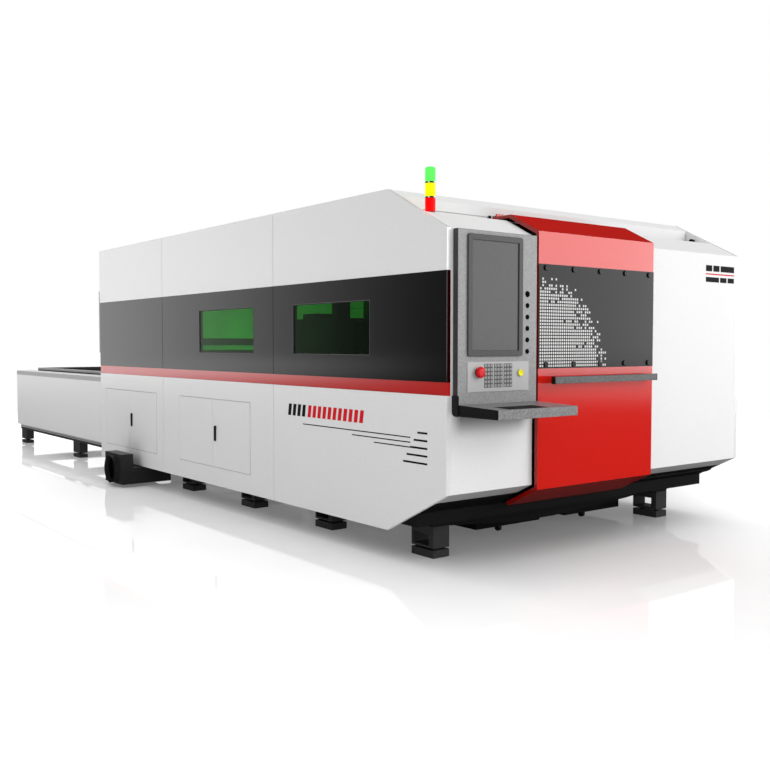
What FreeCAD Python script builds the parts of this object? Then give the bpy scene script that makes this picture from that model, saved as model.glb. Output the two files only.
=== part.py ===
import FreeCAD, Part
import math
import os
import Sketcher
from FreeCAD import Vector

# Fibre laser cutting machine with a sliding front door and an exchange table.
# Machine axes: X from the outer face of the left side panel to the right, Y from
# the front face to the rear, Z up from the floor. Millimetres.

doc = FreeCAD.newDocument("laser_cutting_machine")
sheet = doc.addObject("Spreadsheet::Sheet", "Sizes")

SIZES = {
    # place of the part's origin in machine axes
    "origin_x": 1375, "origin_y": 4461,
    # enclosure
    "width": 3000, "length": 5453, "height": 2324, "skin": 30, "base_z": 191,
    "nose_low": 479, "nose_high": 2034, "nose_run_top": 563, "nose_run_low": 562,
    "stripe_z": 1062, "band_low": 1140, "band_high": 1790, "plate_thick": 4,
    "seam_front": 1946, "seam_rear": 3905, "seam_gap": 4,
    "window_front": 745, "window_rear": 2240, "window_long": 918,
    "window_low": 1294, "window_high": 1642, "pane_back": 4, "pane_thick": 6,
    "roof_thick": 24, "wall_thick": 30,
    # front cabinets and doorway
    "ledge_z": 2152, "wall_y": 460, "sill_z": 415,
    "doorway_left": 714, "doorway_right": 1866, "frame_y": 300, "jamb": 50,
    "beam_low": 243,
    # rear wall, pallet opening and hood
    "port_left": 440, "port_right": 2483, "port_low": 640, "port_high": 1270,
    "hood_left": 100, "hood_right": 2826, "hood_top": 1925, "hood_deep": 292,
    "hood_sheet": 10,
    # sliding door
    "door_left": 716, "door_right": 1866, "door_out": 45, "door_sheet": 25,
    "door_apex": 200, "door_toe": 215, "lip_y": 366, "lip_z": 2188, "lip_thick": 20,
    "door_plate_low": 1210, "door_plate_high": 1860, "door_plate_thick": 3,
    "screw_first": 780, "screw_pitch": 258, "screw_low": 1234, "screw_high": 1837,
    "screw_radius": 18, "screw_head": 10,
    "handle_left": 790, "handle_right": 1818, "handle_low": 1115, "handle_high": 1160,
    "handle_front": 122, "handle_back": 92, "handle_post": 40,
    "rail_left": 704, "rail_right": 2964, "rail_y": 370, "rail_wide": 36,
    "rail_high": 12, "rail_edge": 4, "roller_radius": 22, "roller_wide": 26,
    "buffer_radius": 13, "buffer_gap": 2, "buffer_plate": 8,
    "hanger_wide": 60, "hanger_thick": 10, "hanger_low": 2176, "hanger_high": 2212,
    "axle_reach": 45,
    "roller_left": 776, "roller_right": 1806, "axle_radius": 6, "running_gap": 0.05,
    "guide_y": 195, "guide_run": 40, "guide_thick": 10,
    # operator console
    "console_left": 47, "console_right": 705, "console_out": 43, "console_low": 945,
    "console_high": 2030, "tray_front": 378, "tray_low": 941, "tray_lip": 997,
    "tray_high": 1010,
    "bezel_left": 119, "bezel_right": 578, "bezel_low": 1290, "bezel_high": 2004,
    "screen_left": 153, "screen_right": 544, "screen_low": 1324, "screen_high": 1970,
    "bezel_thick": 20, "screen_thick": 5,
    "keypad_left": 122, "keypad_right": 630, "keypad_low": 1081, "keypad_high": 1258,
    "keypad_thick": 4, "key_left": 258, "key_low": 1107, "key_wide": 18,
    "key_tall": 16, "key_pitch_x": 24, "key_pitch_z": 24, "key_group": 80,
    "key_thick": 3,
    "estop_x": 207, "estop_z": 1196, "estop_radius": 34, "estop_stem": 14,
    "start_x": 554, "start_z": 1188, "start_radius": 20,
    "lamp_x": 620, "lamp_first": 1318, "lamp_pitch": 70, "lamp_radius": 13,
    # stack light
    "beacon_x": 105, "beacon_y": 272, "beacon_radius": 37, "beacon_base": 40,
    "beacon_foot": 8, "beacon_lens": 83, "beacon_ring": 6,
    # electrical cabinets in the left side
    "hatch_front": 2299, "hatch_rear": 4051, "hatch_long": 1262, "hatch_low": 342,
    "hatch_high": 909, "hatch_gap": 3, "hinge_gap": 6, "leaf_thick": 20,
    "barrel_radius": 4, "barrel_inset": 20, "tub_deep": 200, "tub_sheet": 5,
    "tub_lip": 10, "latch_inset": 50, "latch_low": 561, "latch_long": 128,
    "latch_wide": 24, "latch_pin": 5, "latch_boss": 18,
    # extraction duct on the left side
    "duct_out": 210, "duct_front": 4385, "duct_rear": 4800, "duct_low": 32,
    "duct_high": 318, "duct_neck": 92, "duct_flat": 185, "duct_end": 288, "duct_sheet": 6,
    "port_y": 4592, "port_z": 167,
    "spigot_outer": 130, "spigot_bore": 122, "spigot_long": 40,
    # bed
    "bed_left": 246, "bed_right": 2677, "bed_wall": 200, "bed_front": 462,
    "bed_rear": 5177, "bed_top": 1180, "bed_floor": 205, "cross_wide": 160,
    "cross_low": 260, "cross_high": 600, "cross_front": 480, "cross_middle": 2700,
    "cross_rear": 4980, "web_side": 182, "web_middle": 136, "web_left": 1073,
    "web_right": 1429, "web_rise": 2253, "shelf_reach": 74, "shelf_low": 650,
    "pallet_low": 690, "shelf_front": 1250,
    "foot_front": 400, "foot_pitch": 1139, "foot_long": 221, "foot_wide": 135,
    "foot_pad": 50, "foot_slit": 12, "foot_right": 2542, "stud_radius": 19,
    "stud_inset": 45,
    # gantry
    "rail_x": 336, "track_wide": 30, "track_high": 25,
    "track_front": 480, "track_rear": 5160, "rack_offset": 36, "rack_wide": 12,
    "gantry_front": 1500, "gantry_deep": 260, "gantry_low": 1290, "gantry_high": 1552,
    "gantry_left": 256, "gantry_span": 2411, "truck_front": 1480, "truck_long": 480,
    "truck_wide": 180, "truck_low": 1210, "motor_long": 190, "motor_high": 1590,
    "carriage_x": 430, "carriage_wide": 220, "slide_gap": 0.5,
    "beam_rail_proud": 12, "beam_rail_high": 25, "beam_rail_low_z": 1320,
    "beam_rail_top_z": 1490, "carriage_low": 1300, "carriage_high": 1535,
    "slide_y": 1385, "slide_low": 1230, "slide_high": 1760, "slide_half": 70,
    "running_slit": 1, "head_x": 540, "head_y": 1318, "head_half": 42, "head_plate": 29,
    "head_low": 1130, "head_high": 1450, "nozzle_tip": 9, "nozzle_z": 1062,
    "nozzle_long": 26, "nozzle_neck": 26,
    # pallets and exchange table
    "pallet_left": 481, "pallet_right": 2441, "pallet_long": 3300, "pallet_bar": 80,
    "pallet_deep": 118, "slat_top": 122, "slat_low": 30, "slat_thick": 5,
    "slat_pitch": 204, "slat_rows": 15, "slat_teeth": 6, "slat_tooth": 30,
    "slat_first": 137, "inner_pallet_y": 1405, "outer_pallet_y": 5805, "tier_rise": 228,
    "table_left": 296, "table_right": 2627, "table_beam": 100, "table_front": 5560,
    "table_rear": 9300, "table_low": 187, "table_beam_high": 290, "table_top": 985,
    "cover_left": 196, "cover_right": 2727, "cover_front": 5483, "cover_rear": 9103,
    "cover_low": 276, "cover_high": 1003, "cover_thick": 30, "deck_thick": 18,
    "lift_gap": 4, "lift_rear": 9130, "lift_post": 36, "lift_shelf": 84, "lift_bar": 38,
    "lift_post_front": 5700, "lift_post_pitch": 1060,
    "table_foot_front": 5560, "table_foot_middle": 6962, "table_foot_rear": 9048,
    "table_foot_pad": 40, "table_foot_slit": 16, "upright_wide": 120,
    "upright_middle": 7380, "table_rail": 60,
    # scrap carts
    "cart_left": 887, "cart_pitch": 918, "cart_wide": 643, "cart_front": 690,
    "cart_long": 1000, "cart_low": 60, "cart_high": 125, "cart_sheet": 4,
    "wheel_radius": 26, "wheel_wide": 24, "wheel_axle": 5, "front_wheel": 108,
    "rear_wheel": 890, "fork_thick": 4,
}

for row, (alias, number) in enumerate(SIZES.items(), start=1):
    sheet.set(f"A{row}", alias)
    sheet.set(f"B{row}", str(number))
    sheet.setAlias(f"B{row}", alias)
doc.recompute()


class Size:
    """A length that keeps its spreadsheet expression beside its present value."""

    def __init__(self, text, number):
        self.text = text
        self.number = number

    def joined(self, other, sign, number):
        return Size(f"({self.text} {sign} {as_size(other).text})", number)

    def __add__(self, other):
        return self.joined(other, "+", self.number + as_size(other).number)

    def __sub__(self, other):
        return self.joined(other, "-", self.number - as_size(other).number)

    def __mul__(self, other):
        return self.joined(other, "*", self.number * as_size(other).number)

    def __truediv__(self, other):
        return self.joined(other, "/", self.number / as_size(other).number)

    def __radd__(self, other):
        return as_size(other) + self

    def __rsub__(self, other):
        return as_size(other) - self

    def __rmul__(self, other):
        return as_size(other) * self

    def __neg__(self):
        return as_size(0) - self

    def root(self):
        return Size(f"sqrt({self.text})", math.sqrt(self.number))


def as_size(value):
    return value if isinstance(value, Size) else Size(f"{float(value):.6f}", float(value))


class Sizes:
    """Each spreadsheet alias as an attribute."""

    def __init__(self):
        for alias, number in SIZES.items():
            setattr(self, alias, Size(f"Sizes.{alias}", float(number)))


S = Sizes()


def bind(thing, name, value):
    thing.setExpression(name, as_size(value).text)


def shift_to_origin(thing):
    """Moves a finished sub-part from machine axes to the part's own origin."""
    bind(thing, "Placement.Base.x", -S.origin_x)
    bind(thing, "Placement.Base.y", -S.origin_y)
    return thing


NODES = []
PRIMITIVES = ("Part::Box", "Part::Cylinder", "Part::Prism")


def node(thing, label):
    """Names a finished sub-part; a lone primitive keeps its own place in a group."""
    if thing.TypeId in PRIMITIVES:
        thing = group(label + "_single", [thing])
    thing.Label = label
    shift_to_origin(thing)
    NODES.append(thing)
    return thing


# ---- sketches and bodies

def add_polygon(sketch, points):
    """A closed outline whose every corner is held by two bound dimensions."""
    start = sketch.GeometryCount
    count = len(points)
    corners = [Vector(as_size(u).number, as_size(v).number, 0) for u, v in points]
    for i in range(count):
        sketch.addGeometry(Part.LineSegment(corners[i], corners[(i + 1) % count]), False)
    for i in range(count):
        after = start + (i + 1) % count
        sketch.addConstraint(Sketcher.Constraint("Coincident", start + i, 2, after, 1))
    for i, (u, v) in enumerate(points):
        for kind, value in (("DistanceX", u), ("DistanceY", v)):
            held = Sketcher.Constraint(kind, -1, 1, start + i, 1, as_size(value).number)
            sketch.setExpression(f"Constraints[{sketch.addConstraint(held)}]", as_size(value).text)


def add_circle(sketch, u, v, radius):
    u, v, radius = as_size(u), as_size(v), as_size(radius)
    round_edge = Part.Circle(Vector(u.number, v.number, 0), Vector(0, 0, 1), radius.number)
    index = sketch.addGeometry(round_edge, False)
    for kind, value in (("DistanceX", u), ("DistanceY", v)):
        held = Sketcher.Constraint(kind, -1, 1, index, 3, value.number)
        sketch.setExpression(f"Constraints[{sketch.addConstraint(held)}]", value.text)
    held = Sketcher.Constraint("Radius", index, radius.number)
    sketch.setExpression(f"Constraints[{sketch.addConstraint(held)}]", radius.text)


def box_outline(u0, v0, u1, v1):
    return [(u0, v0), (u1, v0), (u1, v1), (u0, v1)]


def sketch_on(body, plane, level, outlines):
    """A sketch on one of the body's origin planes, moved along its normal."""
    sketch = body.newObject("Sketcher::SketchObject", body.Name + "_sketch")
    base = next(f for f in body.Origin.OriginFeatures if f.Role == plane + "_Plane")
    sketch.AttachmentSupport = [(base, "")]
    sketch.MapMode = "FlatFace"
    bind(sketch, "AttachmentOffset.Base.z", level)
    for outline in outlines:
        if len(outline) == 3 and not isinstance(outline[0], tuple):
            add_circle(sketch, *outline)
        else:
            add_polygon(sketch, outline)
    return sketch


def new_body(name):
    return doc.addObject("PartDesign::Body", name)


def pad(body, plane, low, high, *outlines):
    """Pads outlines between two heights along the plane's machine axis."""
    level = -as_size(high) if plane == "XZ" else low
    feature = body.newObject("PartDesign::Pad", body.Name + "_pad")
    feature.Profile = sketch_on(body, plane, level, outlines)
    bind(feature, "Length", as_size(high) - low)
    return feature


def pocket(body, plane, low, high, *outlines):
    """Cuts outlines between two heights, and makes sure that something was cut."""
    doc.recompute()
    before = body.Shape.Volume
    level = -as_size(low) if plane == "XZ" else high
    feature = body.newObject("PartDesign::Pocket", body.Name + "_pocket")
    feature.Profile = sketch_on(body, plane, level, outlines)
    bind(feature, "Length", as_size(high) - low)
    doc.recompute()
    if body.Shape.Volume >= before - 1e-3:
        raise RuntimeError(f"{feature.Name} cuts nothing")
    return feature


def prism(name, plane, low, high, *outlines):
    body = new_body(name)
    pad(body, plane, low, high, *outlines)
    return body


def block(name, x0, y0, z0, x1, y1, z1):
    """A plain box between two corners."""
    box = doc.addObject("Part::Box", name)
    bind(box, "Length", as_size(x1) - x0)
    bind(box, "Width", as_size(y1) - y0)
    bind(box, "Height", as_size(z1) - z0)
    for axis, value in zip("xyz", (x0, y0, z0)):
        bind(box, f"Placement.Base.{axis}", value)
    return box


TURNS = {
    "X": FreeCAD.Rotation(Vector(0, 1, 0), 90),
    "Y": FreeCAD.Rotation(Vector(1, 0, 0), -90),
    "Z": FreeCAD.Rotation(),
}


def rod(name, axis, x, y, z, radius, reach):
    """A cylinder from a point along a machine axis."""
    cylinder = doc.addObject("Part::Cylinder", name)
    bind(cylinder, "Radius", radius)
    bind(cylinder, "Height", reach)
    cylinder.Placement = FreeCAD.Placement(Vector(), TURNS[axis])
    for letter, value in zip("xyz", (x, y, z)):
        bind(cylinder, f"Placement.Base.{letter}", value)
    return cylinder


HEAD_SIDES = 12
ROUND_SIDES = 24
TREAD_SIDES = 48


def facet_rod(name, axis, x, y, z, radius, reach, sides=6):
    """A many-sided prism from a point along a machine axis."""
    bar = doc.addObject("Part::Prism", name)
    bar.Polygon = sides
    bind(bar, "Circumradius", radius)
    bind(bar, "Height", reach)
    bar.Placement = FreeCAD.Placement(Vector(), TURNS[axis])
    for letter, value in zip("xyz", (x, y, z)):
        bind(bar, f"Placement.Base.{letter}", value)
    return bar


def group(name, members):
    """Separate solids of one kind that share a node."""
    compound = doc.addObject("Part::Compound", name)
    compound.Links = members
    return compound


def fuse(name, members):
    joined = doc.addObject("Part::MultiFuse", name)
    joined.Shapes = members
    joined.Refine = True
    return joined


def cut(name, base, tool):
    result = doc.addObject("Part::Cut", name)
    result.Base = base
    result.Tool = tool
    result.Refine = True
    return result


# ---- the enclosure's sloped nose

TOP_SLOPE = (S.height - S.nose_high) / S.nose_run_top
LOW_SLOPE = (S.nose_low - S.base_z) / S.nose_run_low
TOP_STRETCH = (1 + TOP_SLOPE * TOP_SLOPE).root()
LOW_STRETCH = (1 + LOW_SLOPE * LOW_SLOPE).root()


def top_line(y, stand_off=0):
    """Height of the upper slope at y, or of a line standing off it squarely."""
    return S.nose_high + TOP_SLOPE * y + TOP_STRETCH * stand_off


def low_line(y, stand_off=0):
    return S.nose_low - LOW_SLOPE * y - LOW_STRETCH * stand_off


AXLE_Z = S.ledge_z + S.rail_high + S.roller_radius
SILL_FRONT = (S.nose_low - S.sill_z) / LOW_SLOPE
BED_CENTRE = (S.bed_left + S.bed_right) / 2


def across_bed(x):
    """The mirrored place of x about the bed's centre line."""
    return 2 * BED_CENTRE - x


# ---- enclosure panels

SEGMENTS = {
    "front": (0, S.seam_front - S.seam_gap / 2),
    "middle": (S.seam_front + S.seam_gap / 2, S.seam_rear - S.seam_gap / 2),
    "rear": (S.seam_rear + S.seam_gap / 2, S.length),
}

WINDOWS = {"front": S.window_front, "middle": S.window_rear}
HATCHES = {"middle": S.hatch_front, "rear": S.hatch_rear}


def window_outline(start):
    return box_outline(start, S.window_low, start + S.window_long, S.window_high)


def upper_outline(segment):
    y0, y1 = SEGMENTS[segment]
    if segment == "front":
        return [(0, S.band_high), (y1, S.band_high), (y1, S.height),
                (S.nose_run_top, S.height), (0, S.nose_high)]
    return box_outline(y0, S.band_high, y1, S.height)


def lower_outline(segment):
    y0, y1 = SEGMENTS[segment]
    if segment == "front":
        return [(0, S.nose_low), (S.nose_run_low, S.base_z), (y1, S.base_z),
                (y1, S.stripe_z), (0, S.stripe_z)]
    return box_outline(y0, S.base_z, y1, S.stripe_z)


def hatch_outline(start):
    return box_outline(start, S.hatch_low, start + S.hatch_long, S.hatch_high)


def side_panels():
    sides = {"left": (0, S.skin), "right": (S.width - S.skin, S.width)}
    for side, (x0, x1) in sides.items():
        upper = [prism(f"{side}_upper_{segment}", "YZ", x0, x1, upper_outline(segment))
                 for segment in SEGMENTS]
        node(group(f"{side}_upper_group", upper), f"{side}_upper_panels")
        lower = []
        for segment in SEGMENTS:
            outlines = [lower_outline(segment)]
            if side == "left" and segment in HATCHES:
                outlines.append(hatch_outline(HATCHES[segment]))
            lower.append(prism(f"{side}_lower_{segment}", "YZ", x0, x1, *outlines))
        node(group(f"{side}_lower_group", lower), f"{side}_lower_panels")


def side_bands():
    """Red backing strips, the dark plates laid on them and the green panes."""
    openings = [window_outline(start) for start in WINDOWS.values()]
    red = {"left": (S.plate_thick, S.skin),
           "right": (S.width - S.skin, S.width - S.plate_thick)}
    strip = box_outline(0, S.stripe_z, S.length, S.band_high)
    strips = [prism(f"{side}_strip", "YZ", x0, x1, strip, *openings)
              for side, (x0, x1) in red.items()]
    node(group("strip_group", strips), "red_side_bands")
    outer = {"left": (0, S.plate_thick), "right": (S.width - S.plate_thick, S.width)}
    plates = []
    for side, (x0, x1) in outer.items():
        for segment, (y0, y1) in SEGMENTS.items():
            outlines = [box_outline(y0, S.band_low, y1, S.band_high)]
            if segment in WINDOWS:
                outlines.append(window_outline(WINDOWS[segment]))
            plates.append(prism(f"{side}_{segment}_plate", "YZ", x0, x1, *outlines))
    node(group("plate_group", plates), "dark_band_plates")
    starts = {"left": S.pane_back, "right": S.width - S.pane_back - S.pane_thick}
    panes = [prism(f"{side}_{segment}_pane", "YZ", x0, x0 + S.pane_thick, window_outline(start))
             for side, x0 in starts.items() for segment, start in WINDOWS.items()]
    node(group("pane_group", panes), "viewing_windows")


def roof():
    """Flat top, short front slope and the upright wall behind the door's ledge."""
    under = S.height - S.roof_thick
    inside_y = S.wall_y + S.roof_thick
    outline = [
        (S.wall_y, S.ledge_z), (inside_y, S.ledge_z),
        (inside_y, top_line(inside_y, -S.roof_thick)),
        (S.nose_run_top + 6, under), (S.length, under), (S.length, S.height),
        (S.nose_run_top, S.height), (S.wall_y, top_line(S.wall_y)),
    ]
    node(prism("roof_sheet", "YZ", S.skin, S.width - S.skin, outline), "roof_panel")


def front_cabinets():
    ledge_front = (S.ledge_z - S.nose_high) / TOP_SLOPE
    profile = [
        (0, S.nose_low), (SILL_FRONT, S.sill_z), (S.wall_y, S.sill_z),
        (S.wall_y, S.ledge_z), (ledge_front, S.ledge_z), (0, S.nose_high),
    ]
    sides = {"left": (S.skin, S.doorway_left), "right": (S.doorway_right, S.width - S.skin)}
    for side, (x0, x1) in sides.items():
        node(prism(f"{side}_cabinet", "YZ", x0, x1, profile), f"{side}_front_cabinet")


def front_beam():
    outline = [
        (S.frame_y, S.beam_low), (S.wall_y, S.beam_low), (S.wall_y, S.sill_z),
        (SILL_FRONT, S.sill_z), (S.frame_y, low_line(S.frame_y)),
    ]
    node(prism("beam_sheet", "YZ", S.skin, S.width - S.skin, outline), "front_beam")


def door_frame():
    outer = box_outline(S.doorway_left, S.sill_z, S.doorway_right, S.ledge_z)
    inner = box_outline(S.doorway_left + S.jamb, S.sill_z + S.jamb,
                        S.doorway_right - S.jamb, S.ledge_z - S.jamb)
    node(prism("frame_ring", "XZ", S.frame_y, S.wall_y, outer, inner), "door_frame")


def rear_wall():
    wall_top = S.height - S.roof_thick
    outer = box_outline(S.skin, S.base_z, S.width - S.skin, wall_top)
    inner = box_outline(S.port_left, S.port_low, S.port_right, S.port_high)
    sheet_body = prism("rear_sheet", "XZ", S.length - S.wall_thick, S.length, outer, inner)
    node(sheet_body, "rear_wall")


def rear_hood():
    """Dust hood over the pallet opening, open at the bottom."""
    hood = prism("hood_sheet_metal", "XZ", S.length, S.length + S.hood_deep,
                 box_outline(S.hood_left, S.port_high, S.hood_right, S.hood_top))
    inside = box_outline(S.hood_left + S.hood_sheet, S.port_high,
                         S.hood_right - S.hood_sheet, S.hood_top - S.hood_sheet)
    pocket(hood, "XZ", S.length, S.length + S.hood_deep - S.hood_sheet, inside)
    node(hood, "rear_hood")


# ---- sliding door

def door_shell():
    """Four flat leaves of a double sheet, mitred at the folds, with roller hangers."""
    gap = S.door_out - S.door_sheet
    front = -S.door_out
    back = -S.door_out + S.door_sheet
    lip_under = S.lip_z - S.lip_thick
    toe_back = S.door_toe + S.door_sheet * LOW_SLOPE / LOW_STRETCH
    apex = (S.door_apex, S.lip_z)
    apex_back = ((lip_under - S.nose_high - TOP_STRETCH * gap) / TOP_SLOPE, lip_under)
    brow = (front, top_line(front, S.door_out))
    brow_back = (back, top_line(back, gap))
    chin = (front, low_line(front, S.door_out))
    chin_back = (back, low_line(back, gap))
    toe = (S.door_toe, low_line(S.door_toe, S.door_out))
    leaves = {
        "lip": [(S.lip_y, S.lip_z), apex, apex_back, (S.lip_y, lip_under)],
        "slope": [apex, brow, brow_back, apex_back],
        "face": [brow, chin, chin_back, brow_back],
        "toe": [chin, toe, (toe_back, low_line(toe_back, gap)), chin_back],
    }
    sheets = {name: prism(f"door_{name}_sheet", "YZ", S.door_left, S.door_right, outline)
              for name, outline in leaves.items()}
    hung = [sheets.pop("lip")]
    for side, x in (("left", S.roller_left), ("right", S.roller_right)):
        hung.append(block(f"{side}_hanger", x - S.hanger_wide / 2, S.lip_y - S.hanger_thick,
                          S.hanger_low, x + S.hanger_wide / 2, S.lip_y, S.hanger_high))
        hung.append(rod(f"{side}_axle", "Y", x, S.lip_y - S.hanger_thick / 2, AXLE_Z,
                        S.axle_radius, S.axle_reach))
    node(group("door_leaves", [fuse("door_lip_hung", hung)] + list(sheets.values())),
         "door_shell")


def door_plate():
    node(block("door_plate_box", S.door_left, -S.door_out - S.door_plate_thick,
               S.door_plate_low, S.door_right, -S.door_out, S.door_plate_high),
         "door_dark_panel")


def door_screws():
    heads = []
    face = -S.door_out - S.door_plate_thick
    for row, z in (("low", S.screw_low), ("high", S.screw_high)):
        for column in range(5):
            x = S.screw_first + column * S.screw_pitch
            heads.append(facet_rod(f"screw_{row}_{column}", "Y", x, face - S.screw_head, z,
                                   S.screw_radius, S.screw_head, HEAD_SIDES))
    node(group("screw_group", heads), "door_screws")


def door_handle():
    bar = prism("handle_bar", "XZ", -S.handle_front, -S.handle_back,
                box_outline(S.handle_left, S.handle_low, S.handle_right, S.handle_high))
    posts = [
        box_outline(x, S.handle_low + 6, x + S.handle_post, S.handle_high - 6)
        for x in (S.handle_left + 60, S.handle_right - 60 - S.handle_post)
    ]
    pad(bar, "XZ", -S.handle_back, -S.door_out, *posts)
    node(bar, "door_handle")


def rollers():
    """Plain rollers that run between the raised edges of the top rail."""
    y = S.rail_y + S.rail_wide / 2 - S.roller_wide / 2
    for side, x in (("left", S.roller_left), ("right", S.roller_right)):
        tread = facet_rod(f"{side}_tread", "Y", x, y, AXLE_Z, S.roller_radius,
                          S.roller_wide, TREAD_SIDES)
        bore = rod(f"{side}_bore", "Y", x, y - 1, AXLE_Z, S.axle_radius + S.running_gap,
                   S.roller_wide + 2)
        node(cut(f"{side}_roller_turned", tread, bore), f"door_roller_{side}")


def door_rails():
    """Edged top rail on the ledge and the lower guide strip on the beam's slope."""
    rail_top = S.ledge_z + S.rail_high
    rail_back = S.rail_y + S.rail_wide
    members = [block("top_rail", S.rail_left, S.rail_y, S.ledge_z,
                     S.rail_right, rail_back, rail_top)]
    for place, y in (("front", S.rail_y), ("back", rail_back - S.rail_edge)):
        members.append(block(f"{place}_rail_edge", S.rail_left, y, rail_top,
                             S.rail_right, y + S.rail_edge, rail_top + S.rail_edge))
    y0 = S.guide_y
    y1 = S.guide_y + S.guide_run
    lean = S.guide_thick * LOW_SLOPE / LOW_STRETCH
    drop = S.guide_thick / LOW_STRETCH
    outline = [(y0, low_line(y0)), (y1, low_line(y1)), (y1 - lean, low_line(y1) - drop),
               (y0 - lean, low_line(y0) - drop)]
    members.append(prism("guide_strip", "YZ", S.rail_left, S.rail_right, outline))
    node(group("rail_group", members + end_buffers(rail_top)), "door_rails")


def end_buffers(rail_top):
    """Round buffers that stop the rollers, on a bracket and on the right panel."""
    y = S.rail_y + S.rail_wide / 2
    closed_end = S.roller_left - S.roller_radius - S.buffer_gap
    open_end = S.rail_right - S.door_right + S.roller_right + S.roller_radius + S.buffer_gap
    bracket_x = S.rail_left + S.buffer_plate
    bracket = block("buffer_bracket", S.rail_left, y - S.buffer_radius, rail_top,
                    bracket_x, y + S.buffer_radius, AXLE_Z + S.buffer_radius)
    closed = rod("closed_buffer", "X", bracket_x, y, AXLE_Z, S.buffer_radius,
                 closed_end - bracket_x)
    opened = rod("open_buffer", "X", open_end, y, AXLE_Z, S.buffer_radius,
                 S.width - S.skin - open_end)
    return [fuse("closed_stop", [bracket, closed]), opened]


# ---- operator console

def console():
    housing = prism("console_sheet", "XZ", -S.console_out, 0,
                    box_outline(S.console_left, S.console_low, S.console_right, S.console_high))
    node(housing, "console_housing")
    top_at_panel = (-S.console_out, S.tray_high)
    outline = [
        top_at_panel, (-S.tray_front, S.tray_lip), (-S.tray_front, S.tray_low),
        (-S.console_out - 20, S.tray_low), (-S.console_out, S.tray_low + 14),
    ]
    node(prism("tray_sheet", "YZ", S.console_left, S.console_right, outline), "keyboard_tray")
    face = -S.console_out
    bezel = prism("bezel_ring", "XZ", face - S.bezel_thick, face,
                  box_outline(S.bezel_left, S.bezel_low, S.bezel_right, S.bezel_high),
                  box_outline(S.screen_left, S.screen_low, S.screen_right, S.screen_high))
    node(bezel, "monitor_bezel")
    node(block("screen_glass", S.screen_left, face - S.screen_thick, S.screen_low,
               S.screen_right, face, S.screen_high), "monitor_screen")


def keypad():
    face = -S.console_out
    front = face - S.keypad_thick
    plate = prism("keypad_sheet", "XZ", front, face,
                  box_outline(S.keypad_left, S.keypad_low, S.keypad_right, S.keypad_high))
    pad(plate, "XZ", front - 8.5, front,
        (S.estop_x, S.estop_z, S.estop_stem + 6), (S.estop_x, S.estop_z, S.estop_stem + 0.3))
    pad(plate, "XZ", front - 6, front,
        (S.start_x, S.start_z, S.start_radius + 4), (S.start_x, S.start_z, S.start_radius + 0.3))
    node(plate, "keypad_plate")
    keys = []
    for cluster in range(3):
        for column in range(3):
            for row in range(6):
                x = S.key_left + cluster * S.key_group + column * S.key_pitch_x
                z = S.key_low + row * S.key_pitch_z
                keys.append(block(f"key_{cluster}{column}{row}", x, front - S.key_thick, z,
                                  x + S.key_wide, front, z + S.key_tall))
    node(group("key_group_all", keys), "keypad_keys")


def push_buttons():
    front = -S.console_out - S.keypad_thick
    stem = facet_rod("estop_stem_rod", "Y", S.estop_x, front - 15, S.estop_z,
                     S.estop_stem, 8.5, ROUND_SIDES)
    cap = facet_rod("estop_cap_rod", "Y", S.estop_x, front - 35, S.estop_z,
                    S.estop_radius, 20, ROUND_SIDES)
    node(fuse("estop_fused", [cap, stem]), "estop_button")
    node(facet_rod("start_cap", "Y", S.start_x, front - 11, S.start_z, S.start_radius, 6.5,
                   ROUND_SIDES), "start_button")


def status_lamps():
    face = -S.console_out
    lamps = [facet_rod(f"lamp_{row}", "Y", S.lamp_x, face - 7,
                       S.lamp_first + row * S.lamp_pitch, S.lamp_radius, 7, HEAD_SIDES)
             for row in range(6)]
    node(group("lamp_group", lamps), "status_lamps")


def stack_light():
    """Three lenses between dark rings, on the left cabinet's ledge."""
    x, y = S.beacon_x, S.beacon_y
    level = S.ledge_z
    dark = [facet_rod("beacon_foot_disc", "Z", x, y, level, S.beacon_base, S.beacon_foot,
                      ROUND_SIDES)]
    level = level + S.beacon_foot
    for colour in ("red", "amber", "green"):
        lens = facet_rod(f"{colour}_lens", "Z", x, y, level, S.beacon_radius, S.beacon_lens,
                         ROUND_SIDES)
        node(lens, f"stack_light_{colour}")
        level = level + S.beacon_lens
        dark.append(facet_rod(f"{colour}_ring", "Z", x, y, level, S.beacon_radius + 1,
                              S.beacon_ring, ROUND_SIDES))
        level = level + S.beacon_ring
    node(group("beacon_dark", dark), "stack_light_rings")


# ---- electrical cabinets

def cabinet_tubs():
    """Each tub is a back sheet and four side sheets welded behind the panel."""
    sheets = []
    t = S.tub_sheet
    x0 = S.skin
    x1 = S.skin + S.tub_deep
    for place, start in HATCHES.items():
        y0 = start - S.tub_lip
        y1 = start + S.hatch_long + S.tub_lip
        z0 = S.hatch_low - S.tub_lip
        z1 = S.hatch_high + S.tub_lip
        corners = {
            "back": (x1 - t, y0, z0, x1, y1, z1),
            "floor": (x0, y0, z0, x1 - t, y1, z0 + t),
            "ceiling": (x0, y0, z1 - t, x1 - t, y1, z1),
            "front_side": (x0, y0, z0 + t, x1 - t, y0 + t, z1 - t),
            "rear_side": (x0, y1 - t, z0 + t, x1 - t, y1, z1 - t),
        }
        sheets += [block(f"{place}_tub_{name}", *ends) for name, ends in corners.items()]
    node(group("tub_group", sheets), "electrical_tubs")


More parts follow.
